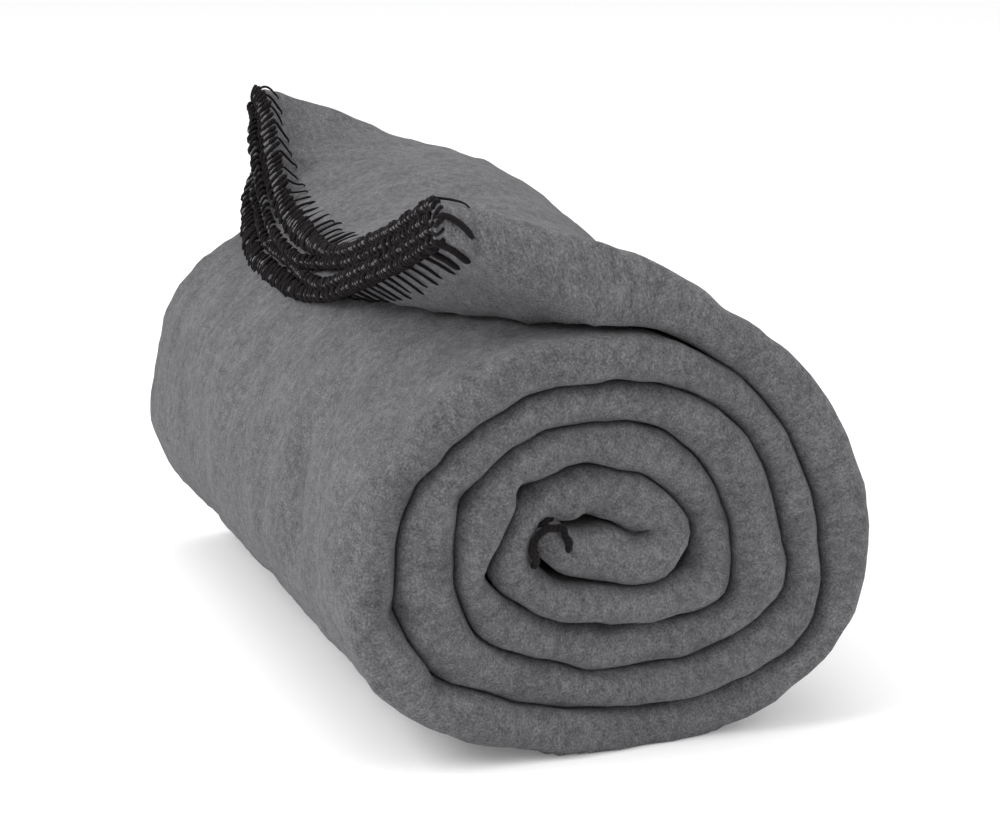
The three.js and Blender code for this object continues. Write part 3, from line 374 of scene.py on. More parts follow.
# Places where the outermost turn is dented or swells: x, y, z, half width in mm, depth outwards.
DENTS = [
    (-72.6, -80.3, 116.7, 8.5, -2.3),
    (-77.6, -77.7, 110.9, 8.5, -2.3),
    (-82.1, -77.6, 104.7, 8.5, -2.3),
    (-85.6, -75.6, 97.6, 8.5, -2.3),
    (-88.7, -72.2, 90.1, 8.5, -2.3),
    (-90.5, -69.9, 82.2, 8.5, -2.3),
    (-91.8, -74.4, 75.3, 8.5, -2.3),
    (-93.0, -80.6, 69.0, 8.5, -2.3),
    (-93.1, -83.7, 61.8, 8.5, -2.3),
    (-72.3, -146.8, 116.9, 6, -1.5),
    (-75.6, -150.0, 113.4, 6, -1.5),
    (-78.2, -150.9, 109.2, 6, -1.5),
    (-80.8, -151.9, 105.1, 6, -1.5),
    (-83.2, -152.2, 100.9, 6, -1.5),
    (-85.2, -151.9, 96.3, 6, -1.5),
    (-87.2, -151.6, 91.8, 6, -1.5),
    (-89.1, -150.9, 87.1, 6, -1.5),
    (-90.4, -150.1, 82.1, 6, -1.5),
    (-91.4, -150.0, 77.2, 6, -1.5),
    (-92.3, -149.9, 72.2, 6, -1.5),
    (-83.1, 96.6, 103.4, 17, 1.7),
    (-86.4, 71.9, 95.6, 17, 1.7),
    (-89.4, 49.0, 87.9, 17, 1.7),
    (-91.1, 32.4, 79.2, 17, 1.7),
    (-92.2, 8.0, 73.4, 17, 1.7),
    (-93.1, -17.6, 68.7, 17, 1.7),
    (-28.1, -133.4, 140.9, 9, -1.2),
    (-18.0, -144.3, 142.2, 9, -1.2),
    (-6.9, -152.2, 142.4, 9, -1.2),
    (-71.0, 35.3, 118.0, 13, -1.3),
    (-79.1, 11.6, 108.8, 13, -1.3),
    (-84.8, -9.4, 99.6, 13, -1.3),
    (-88.1, -33.5, 91.6, 13, -1.3),
    (-91.0, -39.8, 79.9, 13, -1.3),
    (-93.1, -35.6, 65.5, 13, -1.3),
    (-59.8, -76.7, 127.2, 12, 1.1),
    (-69.5, -95.2, 119.3, 12, 1.1),
    (-77.7, -108.9, 110.8, 12, 1.1),
    (-84.0, -119.0, 101.4, 12, 1.1),
    (-88.4, -125.4, 91.0, 12, 1.1),
    (-91.1, -127.2, 79.3, 12, 1.1),
    (-93.1, -131.1, 67.9, 12, 1.1),
    (-93.0, -127.2, 54.1, 12, 1.1),
]


def dents(pos):
    out = np.zeros(pos.shape[:-1])
    for x, y, z, r, d in DENTS:
        q = ((pos - np.array([x, y, z])) ** 2).sum(-1) / r**2
        out += d * np.exp(-q)
    return out


def dome(s, v):
    """How far the far part of the outermost turn stands off the roll at its upper right, where the peak pulls it out."""
    return 17.0 * np.exp(-(((v - 275) / 100) ** 2)) * (1 - smooth((s - 38) / 88)) * smooth((v - 60) / 60)


# how far each turn's near lip stands out (-) or lies back (+), by length along the roll
lip_noise = waves(9, 60, 260, 21, dims=1)
lip_fine = waves(8, 16, 45, 22, dims=1)
far_noise = waves(9, 90, 300, 23, dims=1)

prof_roll = profile(4.2, 12.5)
spacing = (reach_out + reach_in - PLY) / 3
shift = (reach_out - reach_in) / 2
blend0 = smooth(st / 40)
spacing = lerp((DEPTH0 - 0.24 - PLY) / 3, spacing, blend0)
shift = lerp(0, shift, blend0)
v, w, nv, nw, sheet_s = across(prof_roll, spacing, 1.0)
half = np.full_like(v, PLY / 2)
V, W = both_faces(v, w, nv, nw, half)
K = W / spacing[:, None]
W = W + shift[:, None]
lip = 1.3 * lip_noise(st[:, None]) + 0.45 * lip_fine(st[:, None])
lip = lip * smooth(st / 60)
far = 2.2 * far_noise(st[:, None]) * smooth(st / 60)
V = V + lip[:, None] * np.exp(-np.maximum(V, 0) / 24) - np.abs(far)[:, None] * np.exp(-(STRIP - V) / 40)


# Places at the near end where the lips are pinched back: x, z, half width in mm, depth in mm.
PINCHES = [
    (-78.3, 55.1, 5.0, 7),
    (-64.8, 30.7, 3.6, 4.5),
    (-56.6, 92.4, 4.2, 5),
    (-34.2, 93.5, 4.4, 6),
    (-49.5, 64.0, 3.4, 4.5),
    (-11.2, 100.0, 3.2, 4),
    (26.3, 63.2, 4.2, 6),
    (65.8, 54.0, 3.0, 4.5),
    (-10.0, 82.2, 3.2, 6),
    (-19.3, 98.6, 3, 3),
    (-6.1, 43.0, 3, 4),
    (-58.2, 106.9, 3, 2),
    (-5.4, 84.8, 2.6, 3),
    (5.4, 75.9, 3, 3),
    (-29.6, 65.2, 3, 3),
]
near_x = centre[:, :1] + norm[:, :1] * W
near_z = centre[:, 1:] + norm[:, 1:] * W
for px_, pz_, pr_, pd_ in PINCHES:
    q = ((near_x - px_) ** 2 + (near_z - pz_) ** 2) / pr_**2
    V = V + pd_ * np.exp(-q) * np.exp(-np.maximum(V, 0) / 16)


def roll_point(i, V, W):
    x = centre[i, 0] + norm[i, 0] * W
    z = centre[i, 1] + norm[i, 1] * W
    return np.stack([x, V - STRIP / 2, z], -1)


idx = np.arange(len(st))[:, None]
pos = roll_point(idx, V, W)
outness = smooth((K + 0.9) / 2.0)  # how much a change to the outer ply moves this point
outer_turn = smooth((470 - st) / 60)[:, None]
d = dents(pos) * outness * outer_turn
n3 = np.stack([norm[:, 0], np.zeros(len(st)), norm[:, 1]], -1)[:, None, :]
pos = pos + n3 * (d + dome(st[:, None], V))[..., None]
away = (1 - smooth((pos[..., 2] - 1.0) / 6.0)) * 0.8
ripple = 0.32 * soft_small(pos) + 0.5 * soft_big(pos)
fade0 = smooth(st / 12)[:, None]
pos = pos + n3 * (ripple * (1 - away) * fade0)[..., None]
pos[..., 2] = np.where(pos[..., 2] < 1.6, 0.25 * np.maximum(pos[..., 2], -3) / 1.6 + 0.2, pos[..., 2])
pos[..., 2] = np.maximum(pos[..., 2], 0.0)
rows, cols = V.shape
n_prof = len(prof_roll)
faces = grid_faces(rows, cols).tolist()
faces += cap_faces(n_prof, 0, False)
faces += cap_faces(n_prof, (rows - 1) * cols, True)
s_out = np.concatenate([sheet_s, sheet_s[:, -1:].repeat(3, 1), sheet_s[:, ::-1], sheet_s[:, :1].repeat(3, 1)], 1)
side_id = np.concatenate([np.zeros(n_prof + 3), np.ones(n_prof + 3)])[None, :] + np.zeros((rows, 1))
pile = np.stack([st[:, None] + 0 * V, s_out, side_id * 40], -1)
roll = make_mesh("rolled_fleece", pos.reshape(-1, 3), faces, [("pile", pile.reshape(-1, 3))])
outward(roll)
sharpen(roll, range(cols))
roll_ring0 = pos[0]

# ---------------------------------------------------------------- the loose end
HINGE = centre[0]
T0, N0 = tang[0], norm[0]
LOOSE = np.array([HINGE, [24.2, 147.8], [14, 151.2], [4, 152.9], [-8, 153.5], [-20, 152.6], [-32, 150.6], [-44, 147.6], [-53, 144.3], [-61.5, 140.2]])
run = np.r_[0, np.cumsum(np.hypot(*np.diff(LOOSE, axis=0).T))]
LENGTH = run[-1]
P0 = (DEPTH0 - 0.24 - PLY) / 3
P1 = 4.1
COMMON = np.array([[0, 17, 41], [9, 25.5, 38], [40, 54.5, 27.8], [80, 91, 16.6], [115, 124, 7.2], [150, 157.3, 0.2], [180, 187, -2.6]], float)
LOWER = np.array([[120, 127, -1.5], [150, 157, -5.4], [180, 186.8, -8.0], [218, 224.8, -8.6], [250, 256.6, -8.0], [275, 281, -5.4], [292, 297, -1.0], [304, 306.0, 4.5], [315, 309.5, 12.5]], float)
UPPER = np.array([[150, 157.6, 3.9], [180, 187.4, 1.2], [218, 225, 2.6], [242, 248.5, 6.6], [261, 265.0, 16.2], [277, 277.0, 26.6], [291, 285.5, 36.0], [305, 295.0, 42.6], [317.5, 307.0, 44.8]], float)
CURL_POWER = 1.34
PEAK_AT = [0, 0.1, 0.22, 0.35, 0.47, 0.65, 0.8, 0.9, 1.0, 1.1]
PEAK_BY = [0, 0.025, 0.08, 0.165, 0.27, 0.50, 0.755, 0.905, 1.0, 1.08]
EDGE_SKEW = 16.0
REACH = 5.0


def along(f):
    d = np.minimum(f, 1) * LENGTH
    p = spline(run, LOOSE, d)
    up = smooth(f / 0.4)[..., None]
    n = unit(lerp(N0, np.array([0.0, 1.0]), up))
    return p, n


def grow(f, v):
    f = np.maximum(f, 0)
    return lerp(f**CURL_POWER, np.interp(f, PEAK_AT, PEAK_BY), smooth((v - 130) / 60))


def contact(v):
    """How far along the loose end its underside still lies on the roll."""
    return np.interp(v, [0, 12, 33, 56, 89, 112, 136, 150], [0.36, 0.50, 0.64, 0.74, 0.83, 0.89, 0.95, 0.99])


def grow_low(f, v):
    """Growth of the underside, which lifts off the roll only past the line of contact."""
    c = contact(v)
    low = np.maximum(0, (f - c) / (1.0001 - c)) ** 1.15
    low = np.minimum(low, f**CURL_POWER)
    return lerp(low, grow(f, v), smooth((v - 120) / 40))


def section_mid(f, v, t=1.0):
    g = lerp(grow_low(f, v), grow(f, v), t)
    e = spline(COMMON[:, 0], COMMON[:, 1:], v)
    return np.stack([lerp(v, e[..., 0], g), e[..., 1] * g], -1)


def section(f, v, side, level):
    """Centre line of a pair of plies (side 1 or -1), or of the whole stack (0), as (y, height). level is 0 for the
    lowest ply and 1 for the top one: between the bend line and the stitched edge the near lip is puffed open."""
    c = section_mid(f, v, level)
    a, b = section_mid(f, v - REACH, level), section_mid(f, v + REACH, level)
    t = unit(b - a)
    pair = lerp(P0, P1, smooth(f / 0.5)) * side
    near = c + np.stack([-t[..., 1] * pair, t[..., 0] * pair], -1)
    g = grow(f, v)[..., None]
    # away from the edge the wall keeps its slope and starts farther back, so a crease runs along its foot
    back = np.interp(f, [0, 0.21, 0.35, 0.5, 0.68, 0.83, 0.92, 1], [100, 90, 70, 56, 41, 28, 17, 0]) * smooth((v - 160) / 50)
    eu = spline(UPPER[:, 0], UPPER[:, 1:], v - back)
    eu = eu + np.stack([back, 0 * back], -1)
    el = spline(LOWER[:, 0], LOWER[:, 1:], v)
    e = np.where((side > 0)[..., None], eu, el)
    flat = np.stack([v, P0 * side + 0 * v], -1)
    gw = smooth(np.clip(f, 0, 1) / 0.4)[..., None]
    gu = lerp(g, np.maximum(g, gw), smooth((v - 150) / 60)[..., None])
    apart = lerp(flat, e, np.where((side > 0)[..., None], gu, g))
    k = np.where(side < 0, smooth((v - 112) / 45), smooth((v - 140) / 22))[..., None] * (side != 0)[..., None]
    return lerp(near, apart, k)


def loose_point(f, v, w, u=0.0, ply=None):
    ply = w if ply is None else ply
    f, v, w, u, ply = np.broadcast_arrays(np.asarray(f, float), v, w, u, ply)
    side = np.where(v < LIP_V, 0.0, np.sign(ply))
    top = np.where(side < 0, FAR_V, STRIP)
    anchor = np.clip(v, LIP_V, top)
    level = np.clip(w / (3 * P1) + 0.5, 0, 1)
    c = section(f, anchor, side, level)
    a = section(f, anchor - REACH, side, level)
    b = section(f, np.minimum(anchor + REACH, STRIP), side, level)
    t = unit(b - a)
    pair = lerp(P0, P1, smooth(f / 0.5)) * side
    apart_by = smooth((v - 150) / 50) * smooth((f - 0.7) / 0.3)
    low_ply = (side > 0) & (ply < pair)
    open_up = np.where(side > 0, 0.35, 0.2) + np.where(low_ply, 0.2 * smooth((v - 138) / 30) * (1 - smooth((v - 250) / 30)), 0.0)
    off = (w - pair) + (ply - pair) * apart_by * open_up * (side != 0)
    y = c[..., 0] - t[..., 1] * off + t[..., 0] * (v - anchor)
    h = c[..., 1] + t[..., 0] * off + t[..., 1] * (v - anchor)
    even = EDGE_SKEW * np.maximum(v, 0) / STRIP + 4.2 * (1 - smooth(v / 75))
    lag = np.where(side < 0, np.interp(v, [0, 30, 60, 120, 180, 250, 279, 305, 317], [4.2, 3.6, 2.6, 2.5, 0.5, 2.2, 6.4, 11.8, 16.5]), even)
    step = np.where(side > 0, -(1.5 - ply / P1) * 5.6, (ply / P1 + 1.5) * 4.8)
    lag = lag + step * smooth((v - 140) / 70) * (1 - 0.62 * smooth((v - 283) / 30)) * (side != 0)
    lift = dome(0.0, v) * np.where(side < 0, np.maximum(0, 1 - f) ** 1.6, np.maximum(0, 1 - f * f))
    h = h + lift
    p, n = along(f * (1 - lag / LENGTH))
    return np.stack([p[..., 0] + n[..., 0] * h + u, y - STRIP / 2, p[..., 1] + n[..., 1] * h], -1)


prof_loose = profile(4.2, 7.0)
fs = np.r_[np.linspace(0, 1, 46)]
edge_u = [0.0, -0.6, -1.1, -1.5, -1.65]
edge_h = [1.0, 0.92, 0.72, 0.42, 0.12]
F_all = np.r_[fs, [1.0] * (len(edge_u) - 1)]
U_all = np.r_[[0.0] * len(fs), edge_u[1:]]
H_all = np.r_[[1.0] * len(fs), edge_h[1:]]
P_all = lerp(P0, P1 + 0.0, smooth(F_all / 0.5))
lv, lw, lnv, lnw, loose_s = across(prof_loose, P_all, 1.0)
lhalf = (PLY / 2) * H_all[:, None] + 0 * lv
LV, LW = both_faces(lv, lw, lnv, lnw, lhalf)
np_ = len(prof_loose)
ply_mid = np.concatenate([lw, lw[:, -1:].repeat(3, 1), lw[:, ::-1], lw[:, :1].repeat(3, 1)], 1)
lpos = loose_point(F_all[:, None], LV, LW, U_all[:, None], ply_mid)
swell = smooth(F_all / 0.1)[:, None]
bump_dir = np.zeros_like(lpos)
bump_dir[..., 2] = 1
lrip = 0.3 * soft_small(lpos) + 0.5 * soft_big(lpos)
lpos = lpos + bump_dir * (lrip * swell)[..., None]
lrows, lcols = LV.shape
faces = grid_faces(lrows, lcols).tolist()
faces += cap_faces(len(prof_loose), 0, False)
faces += cap_faces(len(prof_loose), (lrows - 1) * lcols, True)
ls_out = np.concatenate([loose_s, loose_s[:, -1:].repeat(3, 1), loose_s[:, ::-1], loose_s[:, :1].repeat(3, 1)], 1)
lside = np.concatenate([np.zeros(len(prof_loose) + 3), np.ones(len(prof_loose) + 3)])[None, :] + np.zeros((lrows, 1))
lpile = np.stack([-(F_all * LENGTH)[:, None] + U_all[:, None] + 0 * LV, ls_out, lside * 40], -1)
loose = make_mesh("loose_fleece", lpos.reshape(-1, 3), faces, [("pile", lpile.reshape(-1, 3))])
outward(loose)
sharpen(loose, range(lcols))


# ---------------------------------------------------------------- yarn
def tube(path, radius, sides=6):
    """Points and quads of a closed yarn along path."""
    path = np.asarray(path, float)
    n = len(path)
    radius = np.broadcast_to(np.asarray(radius, float), (n,))
    t = unit(np.gradient(path, axis=0))
    ref = np.array([0, 0, 1.0]) if abs(t[0, 2]) < 0.9 else np.array([1.0, 0, 0])
    a = unit(np.cross(t[0], ref))
    frames_a = [a]
    for i in range(1, n):
        a = a - t[i] * (a @ t[i])
        a = a / max(np.linalg.norm(a), 1e-9)
        frames_a.append(a)
    A = np.array(frames_a)
    B = np.cross(t, A)
    g = np.linspace(0, 2 * np.pi, sides, endpoint=False)
    ring = A[:, None, :] * np.cos(g)[None, :, None] + B[:, None, :] * np.sin(g)[None, :, None]
    pts = path[:, None, :] + ring * radius[:, None, None]
    pts = np.concatenate([pts.reshape(-1, 3), path[:1] - t[:1] * radius[0] * 0.6, path[-1:] + t[-1:] * radius[-1] * 0.6])
    quads = grid_faces(n, sides).tolist()
    first, last = n * sides, n * sides + 1
    tris = []
    for i in range(sides):
        j = (i + 1) % sides
        tris.append([first, i, j])
        tris.append([last, (n - 1) * sides + j, (n - 1) * sides + i])
    return pts, quads + tris


class Bundle:
    def __init__(self):
        self.points, self.faces, self.count, self.yarn = [], [], 0, []

    def add(self, path, radius, sides=6, tag=0.0):
        p, f = tube(path, radius, sides)
        self.points.append(p)
        self.faces += [[k + self.count for k in q] for q in f]
        self.count += len(p)
        s = np.r_[0, np.cumsum(np.linalg.norm(np.diff(path, axis=0), axis=1))]
        a = np.stack([np.repeat(s, sides), np.tile(np.arange(sides) / sides, len(s)), np.full(len(s) * sides, tag)], -1)
        self.yarn.append(np.concatenate([a, [[0, 0, tag], [s[-1], 0, tag]]]))

    def build(self, name):
        o = make_mesh(name, np.concatenate(self.points), self.faces, [("yarn", np.concatenate(self.yarn))])
        return outward(o)


def line_sampler(prof, p):
    v, w, nv, nw, s = (a[0] for a in across(prof, np.array([p]), 1.0))

    def at(q):
        q = np.asarray(q, float)
        f = lambda a: np.interp(q, s, a)
        n = unit(np.stack([f(nv), f(nw)], -1))
        return f(v), f(w), n[..., 0], n[..., 1]

    return at, s[-1], v, w, nw, s


def stitches(bundle, over, at, total, spans, leg_depth, pitch, seed, cord_r=1.3, yarn_r=0.72, twist=5.2, leg_r=0.52, thick=(0, 0), tufts=None, lean=(2.6, 4.4)):
    """A rope of two yarns wrapped round the edge of the sheet, and legs over its faces.

    over(s, h, u) is a point at height h over the sheet's middle and u mm in from its edge."""
    r = np.random.default_rng(seed)
    s = np.arange(0, total, 0.62)
    jitter = waves(8, 9, 40, seed + 1, dims=1)(s[:, None])
    size = 1 + 0.12 * waves(8, 5, 22, seed + 2, dims=1)(s[:, None])
    for k in (0, 1):
        th = 2 * np.pi * s / twist + k * np.pi + 0.35 * jitter
        h = cord_r * 1.12 * np.cos(th) * size
        u = -0.55 - cord_r * 0.85 * np.sin(th) * size
        bundle.add(over(s, h, u), yarn_r * size, 6, tag=float(k))
    if tufts is not None:
        # fleece shows between the wraps, wherever the two yarns part
        th = 2 * np.pi * s / twist + 0.35 * jitter
        turns = np.floor((th / np.pi) + 0.0)
        for i in np.flatnonzero(np.diff(turns) > 0):
            tufts.append((s[i], cord_r * r.uniform(-0.15, 0.15), r.uniform(0.75, 1.15)))
    for lo, hi, face in spans:
        for c in np.arange(lo, hi, pitch):
            c = c + r.uniform(-0.7, 0.7)
            deep = leg_depth * r.uniform(0.88, 1.12) * (1.0 if face > 0 else np.interp(c, [8, 60, 118], [0.86, 0.72, 0.56]))
            slant = r.uniform(*lean) * (np.interp(c, [0, 60, 130], [0.25, 0.55, 1]) if face > 0 else 1.3)
            fat = r.uniform(1.9, 2.3) if thick[0] < c < thick[1] else r.uniform(0.85, 1.2)
            t = np.linspace(0, 1, 16)
            u = lerp(-1.6, deep, t)
            h = face * np.interp(u, [-1.6, -0.9, 0.2, 1.2, deep - 2.4, deep - 1.0, deep], [0.7, 1.7, 2.05, 2.1, 1.95, 1.7, 1.15])
            # the yarn sags as it crosses the face, early on the underside and late on the top
            turn = slant * (t**1.9 if face > 0 else 1 - (1 - t) ** 2.1)
            bow = -r.uniform(0.1, 0.5) * np.sin(np.pi * t)
            h = h + face * leg_r * (fat - 1) * np.interp(t, [0, 0.15, 0.85, 1], [0, 1, 1, 0.3])
            taper = np.interp(t, [0, 0.25, 0.8, 1], [1.15, 1.0, 0.85, 0.5]) if fat < 1.6 else np.interp(t, [0, 0.12, 0.85, 1], [0.55, 1.0, 1.05, 0.75])
            bundle.add(over(c + turn + bow, h, u), leg_r * fat * taper, 6, tag=2 + r.uniform(0, 1))


prof_line = profile(2.0, 2.0)
at1, total1, v1, w1, nw1, s1 = line_sampler(prof_line, P1)


def over_loose(s, h, u):
    v, w, nv, nw = at1(s)
    h, u = np.broadcast_to(h, v.shape), np.broadcast_to(u, v.shape)
    f = np.where(u > 0, 1 - u / LENGTH, 1.0)
    return loose_point(f, v + nv * h, w + nw * h, np.minimum(u, 0), np.where(np.abs(w) > 1.3 * P1, w + nw * h, w))


# the outermost ply, the near lip and the innermost ply
s_a = s1[np.argmax(v1 < LIP_V + 0.5)]
s_b = s_a + 30
s_c = s_b + (FAR_V - LIP_V)
whip = Bundle()
tufts = []
stitches(whip, over_loose, at1, total1 - 0.5, [(4.0, s_c - 6, 1.0), (8, 118, -1.0)], 10.5, 8.5, 31, cord_r=1.75, yarn_r=0.8, twist=6.4, thick=(s_a + 8, s_a + 30), tufts=tufts)
outer_stitch = whip.build("edge_whip_stitch")

ball = [(0.0, 0.0, 1.0)]
ball_f = []
for i, lat in enumerate((0.45, 0.95, 1.45)):
    for j in range(7):
        a = 2 * math.pi * j / 7
        ball.append((math.sin(lat) * math.cos(a), math.sin(lat) * math.sin(a), math.cos(lat)))
for j in range(7):
    ball_f.append([0, 1 + j, 1 + (j + 1) % 7])
    for i in range(2):
        a, b = 1 + 7 * i + j, 1 + 7 * i + (j + 1) % 7
        ball_f.append([a, a + 7, b + 7, b])
ball_f.append([15 + j for j in range(7)][::-1])
ball = np.array(ball)
tp, tf = [], []
for c, h0, size in tufts:
    # ball axes: s, h and out of the edge
    q = over_loose(np.full(len(ball), c) + ball[:, 0] * 1.15 * size, h0 + ball[:, 1] * 0.95 * size, -0.9 - ball[:, 2] * 1.75 * size)
    tf += [[k + len(tp) * len(ball) for k in f] for f in ball_f]
    tp.append(q)
tuft = make_mesh("edge_fleece_tufts", np.concatenate(tp), tf, [("pile", np.concatenate(tp))])
outward(tuft)

# the inner end, in the middle of the roll
at2, total2, v2, w2, nw2, s2 = line_sampler(profile(3.0, 3.0), float(spacing[-1]))
END_C, END_T, END_N = centre[-1], tang[-1], norm[-1]
lip_end = float(lip[-1])


def over_core(s, h, u):
    v, w, nv, nw = at2(s)
    h, u = np.broadcast_to(h, v.shape), np.broadcast_to(u, v.shape)
    V_, W_ = v + nv * h, w + nw * h
    V_ = V_ + lip_end * np.exp(-np.maximum(V_, 0) / 24)
    back_s = TOTAL - np.maximum(u, 0)
    c = spline(trail_s, TRAIL[:, :2], back_s)
    t = unit(spline(trail_s, TRAIL[:, :2], back_s + 0.5) - spline(trail_s, TRAIL[:, :2], back_s - 0.5))
    n = np.stack([-t[..., 1], t[..., 0]], -1)
    q = c + n * (W_ + float(shift[-1]))[..., None] - END_T * np.minimum(u, 0)[..., None]
    return np.stack([q[..., 0], V_ - STRIP / 2, q[..., 1]], -1)


core = Bundle()
sa2 = s2[np.argmax(v2 < LIP_V + 0.5)]
stitches(core, over_core, at2, total2 - 0.5, [(sa2 + 4.5, sa2 + 5.0, 1.0), (sa2 + 19.5, sa2 + 20, 1.0)], 8.5, 15.5, 41, cord_r=0.75, yarn_r=0.95, twist=7.0, leg_r=1.0, lean=(-0.4, 0.4))

# the wrap over the corner of the inner end, seen end on in the middle of the roll
ARCH = [(-31.2, 68.6), (-33.1, 75.4), (-31.4, 79.4), (-27.6, 81.4), (-22.3, 80.5), (-20.9, 76.8), (-20.5, 72.6)]
arch_run = np.r_[0, np.cumsum(np.hypot(*np.diff(np.array(ARCH), axis=0).T))]
arch = spline(arch_run, np.array(ARCH), np.linspace(0, arch_run[-1], 44))
near_pts = pos.reshape(-1, 3)
near_pts = near_pts[near_pts[:, 1] < -120]
front = np.array([near_pts[np.hypot(near_pts[:, 0] - x, near_pts[:, 2] - z) < 4.0][:, 1].min() for x, z in arch])
front = np.convolve(np.pad(front, 4, mode="edge"), np.ones(9) / 9, "valid")
sink = np.interp(np.linspace(0, 1, 44), [0, 0.08, 0.5, 0.93, 1], [2.0, -0.2, -0.7, -0.2, 1.8])
arch3 = np.stack([arch[:, 0], front + sink, arch[:, 1]], -1)
wob = 0.22 * waves(6, 4, 12, 44, dims=1)(np.linspace(0, arch_run[-1], 44)[:, None])
core.add(arch3 + np.stack([wob, 0 * wob, wob], -1), 1.3 + 0.25 * wob, 8, tag=5.5)
inner_stitch = core.build("core_whip_stitch")


# ---------------------------------------------------------------- materials
def nodes_of(name):
    m = bpy.data.materials.new(name)
    m.use_nodes = True
    nt = m.node_tree
    nt.nodes.clear()
    out = nt.nodes.new("ShaderNodeOutputMaterial")
    bsdf = nt.nodes.new("ShaderNodeBsdfPrincipled")
    nt.links.new(bsdf.outputs[0], out.inputs[0])
    return m, nt, bsdf


def noise(nt, vec, scale, detail=2.0, rough=0.55):
    n = nt.nodes.new("ShaderNodeTexNoise")
    n.noise_dimensions = "3D"
    n.inputs["Scale"].default_value = scale
    n.inputs["Detail"].default_value = detail
    n.inputs["Roughness"].default_value = rough
    nt.links.new(vec, n.inputs["Vector"])
    return n.outputs["Fac"]


def ramp(nt, fac, lo, hi, a=0.0, b=1.0):
    r = nt.nodes.new("ShaderNodeMapRange")
    r.inputs["From Min"].default_value = lo
    r.inputs["From Max"].default_value = hi
    r.inputs["To Min"].default_value = a
    r.inputs["To Max"].default_value = b
    nt.links.new(fac, r.inputs["Value"])
    return r.outputs["Result"]


def math_node(nt, op, a, b):
    m = nt.nodes.new("ShaderNodeMath")
    m.operation = op
    for k, x in enumerate((a, b)):
        if isinstance(x, (int, float)):
            m.inputs[k].default_value = x
        else:
            nt.links.new(x, m.inputs[k])
    return m.outputs[0]


def scaled(nt, vec, sx, sy, sz):
    m = nt.nodes.new("ShaderNodeMapping")
    m.inputs["Scale"].default_value = (sx, sy, sz)
    nt.links.new(vec, m.inputs["Vector"])
    return m.outputs[0]


def attribute(nt, name):
    a = nt.nodes.new("ShaderNodeAttribute")
    a.attribute_name = name
    return a.outputs["Vector"]


def fleece_material():
    m, nt, bsdf = nodes_of("heather_fleece")
    tc = nt.nodes.new("ShaderNodeTexCoord").outputs["Object"]
    pile_v = attribute(nt, "pile")
    fibres = noise(nt, scaled(nt, pile_v, 1.45, 1.2, 1), 1.0, 3.0, 0.65)
    specks = noise(nt, tc, 1250, 2.0, 0.6)
    melange = noise(nt, scaled(nt, pile_v, 0.36, 0.27, 1), 1.0, 2.0, 0.5)
    patches = noise(nt, tc, 62, 2.0, 0.5)
    total = math_node(nt, "ADD", math_node(nt, "MULTIPLY", ramp(nt, fibres, 0.28, 0.72), 0.40), math_node(nt, "MULTIPLY", ramp(nt, specks, 0.3, 0.7), 0.26))
    total = math_node(nt, "ADD", total, math_node(nt, "MULTIPLY", ramp(nt, melange, 0.3, 0.7), 0.22))
    total = math_node(nt, "ADD", total, math_node(nt, "MULTIPLY", ramp(nt, patches, 0.3, 0.7), 0.12))
    cr = nt.nodes.new("ShaderNodeValToRGB")
    cr.color_ramp.elements[0].position = 0.22
    cr.color_ramp.elements[0].color = (0.050, 0.0495, 0.0525, 1)
    cr.color_ramp.elements[1].position = 0.80
    cr.color_ramp.elements[1].color = (0.190, 0.187, 0.195, 1)
    e = cr.color_ramp.elements.new(0.50)
    e.color = (0.106, 0.104, 0.109, 1)
    nt.links.new(total, cr.inputs[0])
    nt.links.new(cr.outputs[0], bsdf.inputs["Base Color"])
    bsdf.inputs["Roughness"].default_value = 0.95
    bsdf.inputs["Specular IOR Level"].default_value = 0.12
    bsdf.inputs["Sheen Weight"].default_value = 0.12
    bsdf.inputs["Sheen Roughness"].default_value = 0.45
    bsdf.inputs["Sheen Tint"].default_value = (0.8, 0.8, 0.84, 1)
    height = math_node(nt, "ADD", math_node(nt, "MULTIPLY", fibres, 0.8), math_node(nt, "MULTIPLY", specks, 0.5))
    height = math_node(nt, "ADD", height, math_node(nt, "MULTIPLY", melange, 1.2))
    b = nt.nodes.new("ShaderNodeBump")
    b.inputs["Strength"].default_value = 0.75
    b.inputs["Distance"].default_value = 0.0009
    nt.links.new(height, b.inputs["Height"])
    nt.links.new(b.outputs[0], bsdf.inputs["Normal"])
    return m


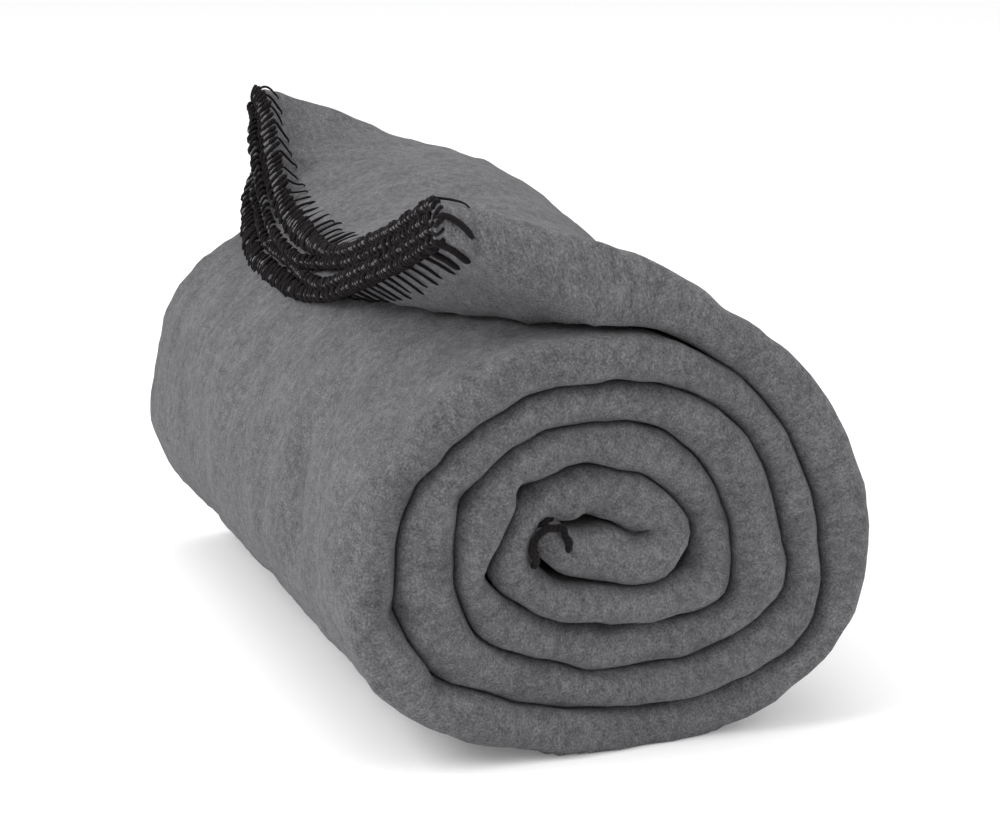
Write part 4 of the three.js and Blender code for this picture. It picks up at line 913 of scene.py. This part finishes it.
def yarn_material():
    m, nt, bsdf = nodes_of("black_yarn")
    tc = nt.nodes.new("ShaderNodeTexCoord").outputs["Object"]
    yv = attribute(nt, "yarn")
    sep = nt.nodes.new("ShaderNodeSeparateXYZ")
    nt.links.new(yv, sep.inputs[0])
    # the ply twist runs round the yarn
    ang = math_node(nt, "ADD", math_node(nt, "MULTIPLY", sep.outputs[0], 0.55), math_node(nt, "MULTIPLY", sep.outputs[1], 2.0))
    tw = math_node(nt, "SINE", math_node(nt, "MULTIPLY", ang, 2 * math.pi), 0.0)
    fuzz = noise(nt, tc, 2400, 3.0, 0.6)
    big = noise(nt, tc, 220, 1.0, 0.5)
    mixv = math_node(nt, "ADD", math_node(nt, "MULTIPLY", ramp(nt, fuzz, 0.3, 0.7), 0.5), math_node(nt, "MULTIPLY", ramp(nt, tw, -1, 1), 0.3))
    mixv = math_node(nt, "ADD", mixv, math_node(nt, "MULTIPLY", ramp(nt, big, 0.3, 0.7), 0.2))
    cr = nt.nodes.new("ShaderNodeValToRGB")
    cr.color_ramp.elements[0].position = 0.25
    cr.color_ramp.elements[0].color = (0.0026, 0.0021, 0.0024, 1)
    cr.color_ramp.elements[1].position = 0.85
    cr.color_ramp.elements[1].color = (0.013, 0.0105, 0.0118, 1)
    nt.links.new(mixv, cr.inputs[0])
    nt.links.new(cr.outputs[0], bsdf.inputs["Base Color"])
    bsdf.inputs["Roughness"].default_value = 0.85
    bsdf.inputs["Specular IOR Level"].default_value = 0.12
    bsdf.inputs["Sheen Weight"].default_value = 0.04
    bsdf.inputs["Sheen Roughness"].default_value = 0.5
    bsdf.inputs["Sheen Tint"].default_value = (0.7, 0.62, 0.68, 1)
    b = nt.nodes.new("ShaderNodeBump")
    b.inputs["Strength"].default_value = 0.7
    b.inputs["Distance"].default_value = 0.0004
    nt.links.new(mixv, b.inputs["Height"])
    nt.links.new(b.outputs[0], bsdf.inputs["Normal"])
    return m


fleece, yarn = fleece_material(), yarn_material()
for o, m in ((roll, fleece), (loose, fleece), (tuft, fleece), (outer_stitch, yarn), (inner_stitch, yarn)):
    o.data.materials.append(m)

# ---------------------------------------------------------------- how the pieces go with the frame
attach(roll, "roll")
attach(inner_stitch, "roll")
for piece in (loose, outer_stitch, tuft):
    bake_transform(piece)
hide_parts("fleece_roll")
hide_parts("fleece_loose_end")
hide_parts("outer_end_stitching")
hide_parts("inner_end_stitching")
slots = [s_["name"] if isinstance(s_, dict) else s_ for s_ in (frame["record"].get("slots") or frame["record"].get("material_slots") or [])] if isinstance(frame["record"], dict) else []

# ---------------------------------------------------------------- floor and light
fm, nt, bsdf = nodes_of("pale_floor")
bsdf.inputs["Base Color"].default_value = (0.93, 0.93, 0.935, 1)
bsdf.inputs["Emission Color"].default_value = (1, 1, 1, 1)
bsdf.inputs["Emission Strength"].default_value = 0.11
bsdf.inputs["Roughness"].default_value = 0.9
bsdf.inputs["Specular IOR Level"].default_value = 0.1
R = 40000.0
floor = make_mesh("floor", [(-R, -R, 0), (R, -R, 0), (R, R, 0), (-R, R, 0)], [[0, 1, 2, 3]])
floor.data.materials.append(fm)

# the plain display transform keeps a white floor white
bpy.context.scene.view_settings.view_transform = "Standard"
world = bpy.data.worlds.new("studio")
bpy.context.scene.world = world
world.use_nodes = True
bg = world.node_tree.nodes["Background"]
bg.inputs[0].default_value = (1, 1, 1, 1)
bg.inputs[1].default_value = 0.90


def area(name, at, target, size, power):
    L = bpy.data.lights.new(name, "AREA")
    L.shape, L.size, L.energy = "DISK", size, power
    o = bpy.data.objects.new(name, L)
    bpy.context.scene.collection.objects.link(o)
    o.location = at
    from mathutils import Vector
    o.rotation_euler = (Vector(target) - Vector(at)).to_track_quat("-Z", "Y").to_euler()
    return o


area("key", (-1.35, -0.25, 1.35), (0, 0, 0.08), 1.0, 17)
area("top", (-0.15, 0.3, 2.0), (0, 0, 0.05), 1.8, 9)
area("fill", (1.2, -0.9, 1.0), (0, 0, 0.08), 1.2, 6)
